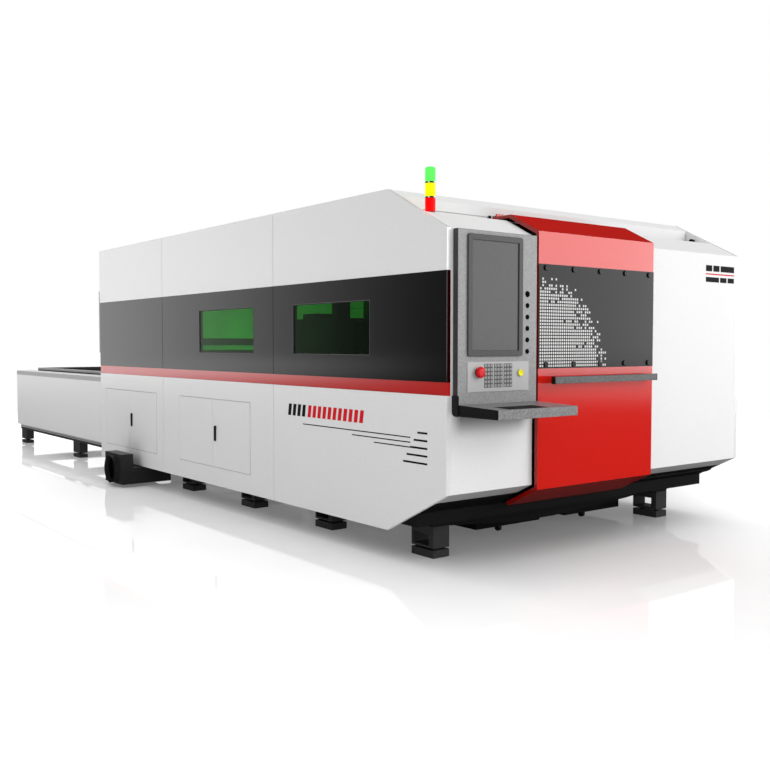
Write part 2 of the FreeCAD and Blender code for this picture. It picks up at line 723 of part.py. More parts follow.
def cabinet_leaf(label, hinge_y, free_y, latch_y):
    """One door leaf with its long hinge barrel, and a latch hole where it has one."""
    low, high = sorted((hinge_y, free_y), key=lambda y: y.number)
    z0 = S.hatch_low + S.hatch_gap
    z1 = S.hatch_high - S.hatch_gap
    outlines = [box_outline(low, z0, high, z1)]
    if latch_y is not None:
        outlines.append((latch_y, S.latch_low + S.latch_long - 17, S.latch_pin + 0.08))
    members = [prism(label + "_sheet", "YZ", 0, S.leaf_thick, *outlines)]
    members.append(rod(label + "_barrel", "Z", 0, hinge_y, z0 + S.barrel_inset,
                       S.barrel_radius, z1 - z0 - 2 * S.barrel_inset))
    node(fuse(label + "_fused", members), label)


def cabinet_latch(label, y):
    """A swing lever whose pin sits in the leaf."""
    pivot_z = S.latch_low + S.latch_long - 17
    lever = block(label + "_lever", -12, y - S.latch_wide / 2, S.latch_low,
                  -2, y + S.latch_wide / 2, S.latch_low + S.latch_long)
    half = S.latch_boss / 2
    boss = block(label + "_boss", -3, y - half, pivot_z - half, 0, y + half, pivot_z + half)
    pin = rod(label + "_pin", "X", -3, y, pivot_z, S.latch_pin, 15)
    node(fuse(label + "_fused", [lever, boss, pin]), label)


def cabinet_doors():
    for place, start in HATCHES.items():
        middle = start + S.hatch_long / 2
        latch_y = middle - S.latch_inset
        cabinet_leaf(f"cabinet_door_{place}_a", start + S.hinge_gap,
                     middle - S.hatch_gap / 2, latch_y)
        cabinet_leaf(f"cabinet_door_{place}_b", start + S.hatch_long - S.hinge_gap,
                     middle + S.hatch_gap / 2, None)
        cabinet_latch(f"cabinet_latch_{place}", latch_y)


# ---- extraction duct

def duct_profile(sheet_thick):
    """Section of the upright end and of the flat duct that runs in under the bed."""
    t = sheet_thick
    return [
        (-S.duct_out + t, S.duct_low + t), (S.duct_end, S.duct_low + t),
        (S.duct_end, S.duct_flat - t), (-S.duct_neck - t, S.duct_flat - t),
        (-S.duct_neck - t, S.duct_high - t), (-S.duct_out + t, S.duct_high - t),
    ]


def exhaust_duct():
    outer = prism("duct_outer", "XZ", S.duct_front, S.duct_rear, duct_profile(0))
    inner = prism("duct_inner", "XZ", S.duct_front + S.duct_sheet, S.duct_rear - S.duct_sheet,
                  duct_profile(S.duct_sheet))
    hole = rod("duct_port", "X", -S.duct_out - 5, S.port_y, S.port_z, S.spigot_bore, 20)
    shell = cut("duct_shell", outer, inner)
    node(cut("duct_open", shell, hole), "exhaust_duct")


def exhaust_spigot():
    """Plain round spigot that an extraction hose is clamped on."""
    node(prism("spigot_sleeve", "YZ", -S.duct_out - S.spigot_long, -S.duct_out,
               (S.port_y, S.port_z, S.spigot_outer), (S.port_y, S.port_z, S.spigot_bore)),
         "exhaust_spigot")


# ---- bed

def bed_frame():
    members = []
    for side in ("left", "right"):
        x0 = S.bed_left if side == "left" else S.bed_right - S.bed_wall
        x1 = x0 + S.bed_wall
        members.append(block(f"{side}_sole", x0, S.foot_front, S.bed_floor,
                             x1, S.bed_rear, S.beam_low))
        members.append(block(f"{side}_wall", x0, S.bed_front, S.beam_low,
                             x1, S.bed_rear, S.bed_top))
        shelf_x = x1 if side == "left" else x0 - S.shelf_reach
        members.append(block(f"{side}_shelf", shelf_x, S.shelf_front, S.shelf_low,
                             shelf_x + S.shelf_reach, S.bed_rear, S.pallet_low))
    crosses = {"front": S.cross_front, "middle": S.cross_middle, "rear": S.cross_rear}
    for place, y in crosses.items():
        members.append(block(f"{place}_cross", S.bed_left + S.bed_wall, y, S.cross_low,
                             S.bed_right - S.bed_wall, y + S.cross_wide, S.cross_high))
    inner_left = S.bed_left + S.bed_wall
    inner_right = S.bed_right - S.bed_wall
    web = [
        (inner_left, S.cross_high), (inner_left, S.web_side), (S.web_left, S.web_middle),
        (S.web_right, S.web_middle), (S.web_rise, S.web_side), (inner_right, S.bed_floor),
        (inner_right, S.cross_high),
    ]
    members.append(prism("scrap_web", "XZ", S.bed_front, S.cross_front, web))
    node(fuse("bed_fused", members), "bed_frame")


def bed_foot(name, x, y):
    """A levelling foot: pad, two thick studs and a bridge with a through window."""
    members = [block(name + "_pad", x, y, 0, x + S.foot_wide, y + S.foot_long, S.foot_pad)]
    for i, off in enumerate((S.stud_inset, S.foot_long - S.stud_inset)):
        members.append(facet_rod(f"{name}_stud_{i}", "Z", x + S.foot_wide / 2, y + off,
                                 S.foot_pad, S.stud_radius, S.foot_slit))
    low = S.foot_pad + S.foot_slit
    window = box_outline(y + 48, low + 16, y + S.foot_long - 18, S.bed_floor - 55)
    members.append(prism(name + "_bridge", "YZ", x, x + S.foot_wide,
                         box_outline(y, low, y + S.foot_long, S.bed_floor), window))
    return fuse(name + "_fused", members)


def bed_feet():
    feet = [bed_foot(f"{side}_foot_{row}", x, S.foot_front + row * S.foot_pitch)
            for side, x in (("left", S.bed_left), ("right", S.foot_right))
            for row in range(5)]
    node(group("foot_group", feet), "bed_feet")


# ---- gantry

def linear_rails():
    members = []
    for side in ("left", "right"):
        x = S.rail_x if side == "left" else across_bed(S.rail_x) - S.track_wide
        rack = x - S.rack_offset
        if side == "right":
            rack = x + S.track_wide + S.rack_offset - S.rack_wide
        members.append(block(f"{side}_track", x, S.track_front, S.bed_top,
                             x + S.track_wide, S.track_rear, S.bed_top + S.track_high))
        members.append(block(f"{side}_rack", rack, S.track_front, S.bed_top,
                             rack + S.rack_wide, S.track_rear, S.bed_top + 20))
    node(group("track_group", members), "gantry_rails")


BEAM_RAILS = {"low": S.beam_rail_low_z, "top": S.beam_rail_top_z}


def saddle_outline(track):
    """Section of a bearing block that straddles the rail starting at X = track."""
    low = S.bed_top + 4
    roof_z = S.bed_top + S.track_high + S.slide_gap
    left = track - S.slide_gap
    right = track + S.track_wide + S.slide_gap
    return [
        (track - 20, low), (left, low), (left, roof_z), (right, roof_z), (right, low),
        (track + S.track_wide + 20, low), (track + S.track_wide + 20, S.truck_low),
        (track - 20, S.truck_low),
    ]


def gantry_beam():
    back = S.gantry_front + S.gantry_deep
    members = [block("beam_box", S.gantry_left, S.gantry_front, S.gantry_low,
                     S.gantry_left + S.gantry_span, back, S.gantry_high)]
    for place, z in BEAM_RAILS.items():
        members.append(block(f"beam_{place}_rail", S.gantry_left + 44,
                             S.gantry_front - S.beam_rail_proud, z,
                             S.gantry_left + S.gantry_span - 44, S.gantry_front,
                             z + S.beam_rail_high))
    for side in ("left", "right"):
        x0 = S.gantry_left if side == "left" else across_bed(S.gantry_left) - S.truck_wide
        rear = S.truck_front + S.truck_long
        members.append(block(f"{side}_truck", x0, S.truck_front, S.truck_low,
                             x0 + S.truck_wide, rear, S.gantry_low))
        members.append(block(f"{side}_motor", x0 + 14, rear - S.motor_long, S.gantry_low,
                             x0 + S.truck_wide - 14, rear, S.motor_high))
        track = S.rail_x if side == "left" else across_bed(S.rail_x) - S.track_wide
        for place, y in (("front", S.truck_front + 20), ("rear", rear - 120)):
            members.append(prism(f"{side}_{place}_bearing", "XZ", y, y + 100,
                                 saddle_outline(track)))
    node(fuse("gantry_fused", members), "gantry_beam")


def cross_carriage():
    """Plate on grooved bearings, with the upright housing of the head's slide."""
    x0 = S.carriage_x
    x1 = S.carriage_x + S.carriage_wide
    rail_front = S.gantry_front - S.beam_rail_proud
    plate_back = rail_front - 8
    plate_front = plate_back - 25
    shy = S.gantry_front - 1
    members = [block("carriage_plate", x0, plate_front, S.carriage_low,
                     x1, plate_back, S.carriage_high)]
    for place, z in BEAM_RAILS.items():
        top = z + S.beam_rail_high
        groove = [
            (plate_back, z - 10), (shy, z - 10), (shy, z - S.slide_gap),
            (rail_front - S.slide_gap, z - S.slide_gap),
            (rail_front - S.slide_gap, top + S.slide_gap), (shy, top + S.slide_gap),
            (shy, top + 10), (plate_back, top + 10),
        ]
        members.append(prism(f"carriage_{place}_bearing", "YZ", x0 + 10, x1 - 10, groove))
    members.append(block("slide_housing", S.head_x - S.slide_half, S.slide_y, S.slide_low,
                         S.head_x + S.slide_half, plate_front, S.slide_high))
    node(fuse("carriage_fused", members), "cross_carriage")


def cutting_head():
    """Slide plate, square optics housing and the stepped nozzle under it."""
    x, y, half = S.head_x, S.head_y, S.head_half
    back = S.slide_y - S.running_slit
    plate = block("head_plate", x - half - 8, back - S.head_plate, S.head_low + 20,
                  x + half + 8, back, S.head_high)
    housing = block("head_housing", x - half, y - half, S.head_low,
                    x + half, back - S.head_plate, S.head_high - 20)
    neck = facet_rod("nozzle_neck", "Z", x, y, S.nozzle_z + S.nozzle_long, S.nozzle_neck,
                     S.head_low - S.nozzle_z - S.nozzle_long, ROUND_SIDES)
    tip = facet_rod("nozzle_tip_rod", "Z", x, y, S.nozzle_z, S.nozzle_tip, S.nozzle_long,
                    HEAD_SIDES)
    node(fuse("head_fused", [plate, housing, neck, tip]), "cutting_head")


# ---- pallets and exchange table

def slat_outline(low, high):
    """One slat across the pallet, its upper edge cut into pointed teeth."""
    x0 = S.pallet_left + S.pallet_bar - 10
    x1 = S.pallet_right - S.pallet_bar + 10
    pitch = (x1 - x0) / SIZES["slat_teeth"]
    points = [(x1, low), (x0, low), (x0, high - S.slat_tooth)]
    for tooth in range(SIZES["slat_teeth"]):
        points.append((x0 + (tooth + 0.5) * pitch, high))
        points.append((x0 + (tooth + 1) * pitch, high - S.slat_tooth))
    return points[:-1] + [(x1, high - S.slat_tooth)]


def pallet(label, front, level):
    """A welded frame with toothed slats repeated along it."""
    body = new_body(label + "_body")
    rear = front + S.pallet_long
    bar = S.pallet_bar
    pad(body, "XY", level, level + S.pallet_deep,
        box_outline(S.pallet_left, front, S.pallet_right, rear),
        box_outline(S.pallet_left + bar, front + bar, S.pallet_right - bar, rear - bar))
    first = front + S.slat_first + bar
    slat = pad(body, "XZ", first, first + S.slat_thick,
               slat_outline(level + S.slat_low, level + S.slat_top))
    rows = body.newObject("PartDesign::LinearPattern", label + "_rows")
    rows.Originals = [slat]
    rows.Direction = (next(f for f in body.Origin.OriginFeatures if f.Role == "Y_Axis"), [""])
    bind(rows, "Occurrences", S.slat_rows)
    bind(rows, "Length", (S.slat_rows - 1) * S.slat_pitch)
    body.Tip = rows
    node(body, label)


def table_frame():
    members = []
    feet = {"front": S.table_foot_front, "middle": S.table_foot_middle,
            "rear": S.table_foot_rear}
    for side in ("left", "right"):
        x0 = S.table_left if side == "left" else S.table_right - S.table_beam
        x1 = x0 + S.table_beam
        members.append(block(f"{side}_table_sole", x0, S.table_front, S.table_low,
                             x1, S.table_rear, S.table_beam_high))
        members.append(block(f"{side}_table_rail", x0, S.table_front,
                             S.table_top - S.table_rail,
                             x1, S.table_rear, S.table_top))
        uprights = {"front": S.table_front, "middle": S.upright_middle,
                    "rear": S.table_rear - S.upright_wide}
        for place, y in uprights.items():
            members.append(block(f"{side}_{place}_upright", x0, y, S.table_beam_high,
                                 x1, y + S.upright_wide, S.table_top - S.table_rail))
        for place, y in feet.items():
            y1 = y + S.foot_long
            slit_top = S.table_foot_pad + S.table_foot_slit
            foot = f"{side}_{place}_table_foot"
            members.append(block(foot, x0, y, slit_top, x1, y1, S.table_low))
            members.append(block(foot + "_pad", x0, y, 0, x1, y1, S.table_foot_pad))
            members.append(facet_rod(foot + "_stud", "Z", (x0 + x1) / 2, (y + y1) / 2,
                                     S.table_foot_pad, S.stud_radius, S.table_foot_slit))
    for place, y in uprights.items():
        members.append(block(f"{place}_table_cross", S.table_left + S.table_beam, y + 10, 200,
                             S.table_right - S.table_beam, y + S.upright_wide - 10,
                             S.table_beam_high))
    node(fuse("table_fused", members), "table_frame")


def table_covers():
    covers = []
    for side in ("left", "right"):
        outer = S.cover_left if side == "left" else S.cover_right - S.cover_thick
        inner = S.table_left if side == "left" else S.table_right - S.table_beam
        deck_low = S.cover_high - S.deck_thick
        wall = block(f"{side}_cover_wall", outer, S.cover_front, S.cover_low,
                     outer + S.cover_thick, S.cover_rear, S.cover_high)
        deck_x0 = S.cover_left if side == "left" else inner
        deck_x1 = inner + S.table_beam if side == "left" else S.cover_right
        deck = block(f"{side}_cover_deck", deck_x0, S.cover_front, deck_low,
                     deck_x1, S.cover_rear, S.cover_high)
        covers.append(fuse(f"{side}_cover", [wall, deck]))
    node(group("cover_group", covers), "table_covers")


def lift_carriage():
    """Two tiers of pallet rails that rise and fall between the table's beams."""
    members = []
    upper = S.pallet_low + S.tier_rise
    left_x = S.table_left + S.table_beam + S.lift_gap
    for side in ("left", "right"):
        post_x0 = left_x if side == "left" else across_bed(left_x) - S.lift_post
        shelf_x0 = post_x0 if side == "left" else post_x0 - S.lift_shelf
        shelf_x1 = shelf_x0 + S.lift_post + S.lift_shelf
        for tier, top in (("lower", S.pallet_low), ("upper", upper)):
            members.append(block(f"{side}_{tier}_tier", shelf_x0, S.table_front, top - S.lift_bar,
                                 shelf_x1, S.lift_rear, top))
        for row in range(4):
            y = S.lift_post_front + row * S.lift_post_pitch
            members.append(block(f"{side}_lift_post_{row}", post_x0, y, S.pallet_low,
                                 post_x0 + S.lift_post, y + S.upright_wide, upper - S.lift_bar))
    tie_top = S.pallet_low - S.lift_bar
    for row in range(3):
        y = S.lift_post_front + row * S.lift_post_pitch * 1.5
        members.append(block(f"lift_tie_{row}", left_x, y, tie_top - 40,
                             across_bed(left_x), y + S.upright_wide, tie_top))
    node(group("lift_group", members), "lift_carriage")


# ---- scrap carts

def cart_wheel(name, x, y, wide):
    """A plain wheel about an axle along X."""
    tread = facet_rod(name + "_tread", "X", x, y, S.wheel_radius, S.wheel_radius, wide,
                      ROUND_SIDES)
    bore = rod(name + "_bore", "X", x - 1, y, S.wheel_radius,
               S.wheel_axle + S.running_gap, as_size(wide) + 2)
    return cut(name, tread, bore)


def fork(name, x, y, wide):
    """Two cheeks under the cart and the axle between them."""
    cheeks = []
    for end, start in (("a", x - S.fork_thick - 1), ("b", x + wide + 1)):
        cheeks.append(block(f"{name}_{end}", start, y - 14, S.wheel_radius - 10,
                            start + S.fork_thick, y + 14, S.cart_low))
    axle = rod(name + "_axle", "X", x - S.fork_thick - 1, y, S.wheel_radius, S.wheel_axle,
               as_size(wide) + 2 * S.fork_thick + 2)
    return cheeks + [axle]


def scrap_cart(number, x0):
    """Low open tray on one front wheel and two rear wheels."""
    label = f"scrap_cart_{number}"
    y0 = S.cart_front
    tray = prism(label + "_tray", "XY", S.cart_low, S.cart_high,
                 box_outline(x0, y0, x0 + S.cart_wide, y0 + S.cart_long))
    t = S.cart_sheet
    pocket(tray, "XY", S.cart_low + t, S.cart_high,
           box_outline(x0 + t, y0 + t, x0 + S.cart_wide - t, y0 + S.cart_long - t))
    wide = S.wheel_wide
    front = (x0 + S.cart_wide / 2 - wide / 2, y0 + S.front_wheel)
    rear = [(x0 + 40, y0 + S.rear_wheel), (x0 + S.cart_wide - 40 - wide, y0 + S.rear_wheel)]
    members = [tray] + fork(label + "_front_fork", *front, wide)
    for side, place in zip(("left", "right"), rear):
        members += fork(f"{label}_{side}_fork", *place, wide)
    node(fuse(label + "_fused", members), label)
    node(cart_wheel(label + "_wheel_f", *front, wide), label + "_front_wheel")
    pair = [cart_wheel(f"{label}_wheel_{side}", *place, wide)
            for side, place in zip(("left", "right"), rear)]
    node(group(label + "_wheel_pair", pair), label + "_rear_wheels")


# ---- the whole machine

side_panels()
side_bands()
roof()
front_cabinets()
front_beam()
door_frame()
rear_wall()
rear_hood()
door_shell()
door_plate()
door_screws()
door_handle()
rollers()
door_rails()
console()
keypad()
push_buttons()
status_lamps()
stack_light()
cabinet_tubs()
cabinet_doors()
exhaust_duct()
exhaust_spigot()
bed_frame()
bed_feet()
linear_rails()
gantry_beam()
cross_carriage()
cutting_head()
pallet("pallet_inner", S.inner_pallet_y, S.pallet_low)
pallet("pallet_outer", S.outer_pallet_y, S.pallet_low + S.tier_rise)
table_frame()
table_covers()
lift_carriage()
for cart_number in (1, 2):
    scrap_cart(cart_number, S.cart_left + (cart_number - 1) * S.cart_pitch)

doc.recompute()

for thing in doc.Objects:
    if {"Invalid", "Error"} & set(thing.State):
        raise RuntimeError(f"{thing.Name} failed: {thing.State}")
for thing in NODES:
    if thing.Shape.isNull() or not thing.Shape.isValid() or not thing.Shape.Solids:
        raise RuntimeError(f"{thing.Label} has no valid shape")

os.makedirs("parts", exist_ok=True)
for thing in NODES:
    thing.Shape.exportStep(f"parts/{thing.Label}.step")
    bounds = thing.Shape.BoundBox
    print(f"{thing.Label:26s} {len(thing.Shape.Solids):3d} solids "
          f"X {bounds.XMin:8.1f} {bounds.XMax:8.1f}  Y {bounds.YMin:8.1f} {bounds.YMax:8.1f}  "
          f"Z {bounds.ZMin:7.1f} {bounds.ZMax:7.1f}  volume {thing.Shape.Volume / 1e6:9.2f} dm3")
print(len(NODES), "nodes")
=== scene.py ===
import bmesh
import bpy
import math
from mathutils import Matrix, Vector


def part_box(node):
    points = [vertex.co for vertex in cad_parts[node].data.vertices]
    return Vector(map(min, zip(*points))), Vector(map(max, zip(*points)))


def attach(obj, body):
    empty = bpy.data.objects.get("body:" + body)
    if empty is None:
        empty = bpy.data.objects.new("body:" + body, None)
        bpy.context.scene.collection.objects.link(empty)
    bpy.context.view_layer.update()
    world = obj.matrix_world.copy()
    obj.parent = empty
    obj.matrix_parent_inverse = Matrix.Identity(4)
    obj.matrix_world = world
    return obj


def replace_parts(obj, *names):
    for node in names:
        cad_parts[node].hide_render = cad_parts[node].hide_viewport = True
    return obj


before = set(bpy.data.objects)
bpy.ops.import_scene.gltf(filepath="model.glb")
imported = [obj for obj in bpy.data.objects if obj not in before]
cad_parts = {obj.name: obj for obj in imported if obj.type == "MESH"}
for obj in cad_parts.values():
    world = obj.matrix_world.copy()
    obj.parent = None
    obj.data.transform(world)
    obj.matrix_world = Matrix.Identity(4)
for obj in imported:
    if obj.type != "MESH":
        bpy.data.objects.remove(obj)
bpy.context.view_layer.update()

# The part's axes in metres: X to the right, Y to the rear, Z up. Sizes below are in
# millimetres from the enclosure's front left corner, as the machine is drawn.
ORIGIN = Vector((1375.0, 4461.0, 0.0))


def at(x, y, z):
    return (Vector((x, y, z)) - ORIGIN) / 1000


def reach(node):
    """Lowest and highest corner of a node in machine millimetres."""
    low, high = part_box(node)
    return Vector(low) * 1000 + ORIGIN, Vector(high) * 1000 + ORIGIN


# ---- materials

class Looks:
    """A node tree that is built up from a principled surface."""

    def __init__(self, name):
        self.material = bpy.data.materials.new(name)
        self.material.use_nodes = True
        self.tree = self.material.node_tree
        self.surface = self.tree.nodes["Principled BSDF"]
        self.output = self.tree.nodes["Material Output"]
        self.place = self.add("ShaderNodeTexCoord").outputs["Object"]

    def add(self, kind, **settings):
        made = self.tree.nodes.new(kind)
        for key, value in settings.items():
            setattr(made, key, value)
        return made

    def link(self, source, target):
        self.tree.links.new(source, target)

    def feed(self, socket, value):
        """Links a socket to another's input, or sets it to a plain value."""
        if isinstance(value, bpy.types.NodeSocket):
            self.link(value, socket)
        else:
            socket.default_value = value

    def math(self, operation, *values):
        made = self.add("ShaderNodeMath", operation=operation)
        for socket, value in zip(made.inputs, values):
            self.feed(socket, value)
        return made.outputs[0]

    def axes(self):
        parts = self.add("ShaderNodeSeparateXYZ")
        self.link(self.place, parts.inputs["Vector"])
        return parts.outputs["X"], parts.outputs["Y"], parts.outputs["Z"]

    def blend(self, fraction, low, high):
        """Mixes two colours by a fraction."""
        made = self.add("ShaderNodeMix", data_type="RGBA")
        self.feed(made.inputs["Factor"], fraction)
        for name, colour in (("A", low), ("B", high)):
            sockets = [s for s in made.inputs if s.name == name and s.type == "RGBA"]
            value = colour
            if isinstance(colour, tuple):
                value = (*colour, 1.0)
            self.feed(sockets[0], value)
        return next(s for s in made.outputs if s.type == "RGBA")

    def noise(self, scale, detail=2.0, rough=0.5, stretch=None):
        place = self.place
        if stretch:
            mapping = self.add("ShaderNodeMapping")
            mapping.inputs["Scale"].default_value = stretch
            self.link(place, mapping.inputs["Vector"])
            place = mapping.outputs["Vector"]
        made = self.add("ShaderNodeTexNoise")
        made.inputs["Scale"].default_value = scale
        made.inputs["Detail"].default_value = detail
        made.inputs["Roughness"].default_value = rough
        self.link(place, made.inputs["Vector"])
        return made.outputs["Fac"]

    def ramp(self, value, low, high, start=0.3, end=0.7):
        made = self.add("ShaderNodeValToRGB")
        for stop, place, colour in zip(made.color_ramp.elements, (start, end), (low, high)):
            stop.position = place
            stop.color = (*colour, 1)
        self.link(value, made.inputs["Fac"])
        return made.outputs["Color"]

    def spread(self, value, low, high, start=0.0, end=1.0):
        made = self.add("ShaderNodeMapRange")
        for key, number in (("From Min", start), ("From Max", end),
                            ("To Min", low), ("To Max", high)):
            made.inputs[key].default_value = number
        self.link(value, made.inputs["Value"])
        return made.outputs["Result"]

    def bump(self, value, strength, distance):
        made = self.add("ShaderNodeBump")
        made.inputs["Strength"].default_value = strength
        made.inputs["Distance"].default_value = distance
        self.link(value, made.inputs["Height"])
        self.link(made.outputs["Normal"], self.surface.inputs["Normal"])
        return self

    def put(self, **values):
        for name, value in values.items():
            self.feed(self.surface.inputs[name.replace("_", " ")], value)
        return self

    def facing(self, axis):
        """How far a surface looks towards an axis's low end."""
        normal = self.add("ShaderNodeNewGeometry").outputs["Normal"]
        parts = self.add("ShaderNodeSeparateXYZ")
        self.link(normal, parts.inputs["Vector"])
        return self.spread(parts.outputs[axis], 1.0, 0.0, -0.8, -0.3)


def smooth_step(look, value, start, end, low, high):
    made = look.add("ShaderNodeMapRange", interpolation_type="SMOOTHSTEP")
    for key, number in (("From Min", start), ("From Max", end), ("To Min", low),
                        ("To Max", high)):
        made.inputs[key].default_value = number
    look.link(value, made.inputs["Value"])
    return made.outputs["Result"]


def shade(colour, factor):
    return tuple(min(1.0, c * factor) for c in colour)


def speckled(look, colour, vary, scale=170.0):
    """The colour with a fine speckle and a very slight drift over a panel."""
    fine = look.ramp(look.noise(scale, 3.0, 0.6), shade(colour, 1 - vary), shade(colour, 1 + vary))
    drift = look.spread(look.noise(1.3, 1.0), 0.0, 0.05)
    return look.blend(drift, fine, shade(colour, 0.8))


def shaded(look, tone, axis, colour, vary, scale=170.0):
    """The tone, with a painted shade colour where the surface looks to the axis's low end."""
    return look.blend(look.facing(axis), tone, speckled(look, colour, vary, scale))


def powder_coat(name, colour, roughness=0.5, grain=260.0, vary=0.02, ior=1.45, side=None,
                under_shade=None, scale=170.0, tray=None):
    """Sprayed powder: a fine orange peel with a slight speckle, with painted shade on faces that
    look left and down, and a painted shadow under the keyboard tray.
    """
    look = Looks(name)
    tone = speckled(look, colour, vary, scale)
    if side:
        tone = shaded(look, tone, "X", side, vary, scale)
    if under_shade:
        tone = shaded(look, tone, "Z", under_shade, vary, scale)
    if tray:
        tone = tray_shade(look, tone, tray)
    look.put(Base_Color=tone, IOR=ior)
    look.put(Roughness=look.spread(look.noise(40.0), roughness - 0.05, roughness + 0.05))
    look.bump(look.noise(grain, 3.0, 0.6), 0.3, 0.0002)
    return look.material


def tray_shade(look, tone, colour):
    """A painted soft shadow on the front cabinet where the keyboard tray hangs over it."""
    low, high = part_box("keyboard_tray")
    x, _, z = look.axes()
    dark = look.math("MULTIPLY", smooth_step(look, z, low[2] - 0.15, low[2], 0.0, 0.8),
                     smooth_step(look, x, low[0] - 0.03, low[0] + 0.08, 0.0, 1.0))
    dark = look.math("MULTIPLY", dark,
                     smooth_step(look, x, high[0] - 0.12, high[0] + 0.01, 1.0, 0.0))
    below = look.math("LESS_THAN", z, high[2])
    return look.blend(look.math("MULTIPLY", dark, below), tone, colour)


def gloss_paint(name, colour, roughness=0.1, ior=1.5, vary=0.03, side=None, under_shade=None):
    """Smooth gloss paint with a very faint peel, with painted shade on faces that look left and
    down.
    """
    look = Looks(name)
    tone = speckled(look, colour, vary, 60.0)
    if side:
        tone = shaded(look, tone, "X", side, vary)
    if under_shade:
        tone = shaded(look, tone, "Z", under_shade, vary)
    look.put(Base_Color=tone, IOR=ior)
    look.put(Roughness=look.spread(look.noise(30.0), roughness * 0.8, roughness * 1.2))
    look.bump(look.noise(90.0, 2.0), 0.02, 0.0002)
    return look.material


def metal(name, colour, roughness=0.3, stretch=(1, 1, 40), scale=30.0):
    """Drawn or ground metal with fine lines across the stretch."""
    look = Looks(name)
    lines = look.noise(scale, 4.0, 0.6, stretch)
    look.put(Base_Color=look.ramp(lines, shade(colour, 0.82), shade(colour, 1.08)))
    look.put(Roughness=look.spread(lines, roughness - 0.08, roughness + 0.12), Metallic=1.0)
    look.bump(lines, 0.12, 0.0002)
    return look.material


def plastic(name, colour, roughness=0.4, grain=700.0, strength=0.2, ior=1.45):
    look = Looks(name)
    look.put(Base_Color=look.ramp(look.noise(60.0), shade(colour, 0.95), shade(colour, 1.05)))
    look.put(Roughness=look.spread(look.noise(120.0), roughness - 0.04, roughness + 0.04), IOR=ior)
    look.bump(look.noise(grain, 2.0), strength, 0.0001)
    return look.material


def tinted_glass(name, colour, reflection):
    """Clear coloured pane that mirrors more at a slant, the same from both faces."""
    look = Looks(name)
    clear = look.add("ShaderNodeBsdfTransparent")
    look.link(look.ramp(look.noise(2.0), shade(colour, 0.96), shade(colour, 1.04)),
              clear.inputs["Color"])
    look.put(Base_Color=look.ramp(look.noise(60.0), (0.90, 0.90, 0.90), (0.94, 0.94, 0.94)),
             Roughness=look.spread(look.noise(30.0), 0.02, 0.05), Metallic=1.0)
    slant = look.add("ShaderNodeLayerWeight").outputs["Facing"]
    mirror = look.math("MULTIPLY", look.math("POWER", slant, 4.0), reflection)
    mix = look.add("ShaderNodeMixShader")
    look.link(mirror, mix.inputs["Fac"])
    look.link(clear.outputs["BSDF"], mix.inputs[1])
    look.link(look.surface.outputs["BSDF"], mix.inputs[2])
    look.link(mix.outputs["Shader"], look.output.inputs["Surface"])
    return look.material


def lens(name, colour, glow):
    """Moulded lens plastic, lit from inside."""
    look = Looks(name)
    tone = look.ramp(look.noise(80.0), shade(colour, 0.96), shade(colour, 1.0))
    look.put(Base_Color=look.ramp(look.noise(60.0), shade(colour, 0.05), shade(colour, 0.1)))
    look.put(Emission_Color=tone, Emission_Strength=glow, Roughness=0.3, IOR=1.3)
    look.bump(look.noise(300.0), 0.05, 0.0001)
    return look.material


DOT_PITCH = 0.0201
DOT_EDGES = (0.17, 0.83)        # where a square starts and ends in its cell
DOT_OFFSETS = (0.007, 0.006)    # from the panel's lower left corner
DOT_REACH = (30.5, 26.5)        # cells that the fade spans, across and up
PANEL_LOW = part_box("door_dark_panel")[0]


def dotted_panel(name, dark, light):
    """Dark gloss panel with a printed fade of light squares from its lower left corner."""
    look = Looks(name)
    x, _, z = look.axes()
    start_x, start_z = PANEL_LOW[0] + DOT_OFFSETS[0], PANEL_LOW[2] + DOT_OFFSETS[1]
    across = look.math("DIVIDE", look.math("SUBTRACT", x, start_x), DOT_PITCH)
    up = look.math("DIVIDE", look.math("SUBTRACT", z, start_z), DOT_PITCH)
    cell = look.add("ShaderNodeCombineXYZ")
    squares = []
    for place, (value, extent) in enumerate(zip((across, up), DOT_REACH)):
        step = look.math("FLOOR", value)
        started = look.math("GREATER_THAN", step, -0.5)
        look.link(step, cell.inputs[place])
        inside = look.math("FRACT", value)
        past_start = look.math("GREATER_THAN", inside, DOT_EDGES[0])
        squares.append((look.math("MULTIPLY", started, past_start),
                        look.math("LESS_THAN", inside, DOT_EDGES[1]),
                        look.math("POWER", look.math("DIVIDE", step, extent), 2.0)))
    chance = look.add("ShaderNodeTexWhiteNoise", noise_dimensions="3D")
    look.link(cell.outputs["Vector"], chance.inputs["Vector"])
    far = look.math("ADD", squares[0][2], squares[1][2])
    ragged = look.math("MULTIPLY", look.math("SUBTRACT", chance.outputs["Value"], 0.35), 0.32)
    mask = look.math("LESS_THAN", look.math("ADD", far, ragged), 1.0)
    dropped = look.spread(far, 0.0, 0.14, 0.2, 1.0)
    second = look.math("FRACT", look.math("MULTIPLY", chance.outputs["Value"], 37.0))
    mask = look.math("MULTIPLY", mask, look.math("GREATER_THAN", second, dropped))
    for low, high, _ in squares:
        mask = look.math("MULTIPLY", mask, look.math("MULTIPLY", low, high))
    look.put(Base_Color=look.blend(mask, speckled(look, dark, 0.03, 60.0), light))
    look.put(Roughness=look.spread(look.noise(30.0), 0.1, 0.14), IOR=1.22)
    look.bump(mask, 0.15, 0.0001)
    return look.material


STRIPE_TOP = 1.139
# The cut front end's low IOR takes most of its reflection away, as part of its painted shade.
SHADED_END_IOR = 1.05


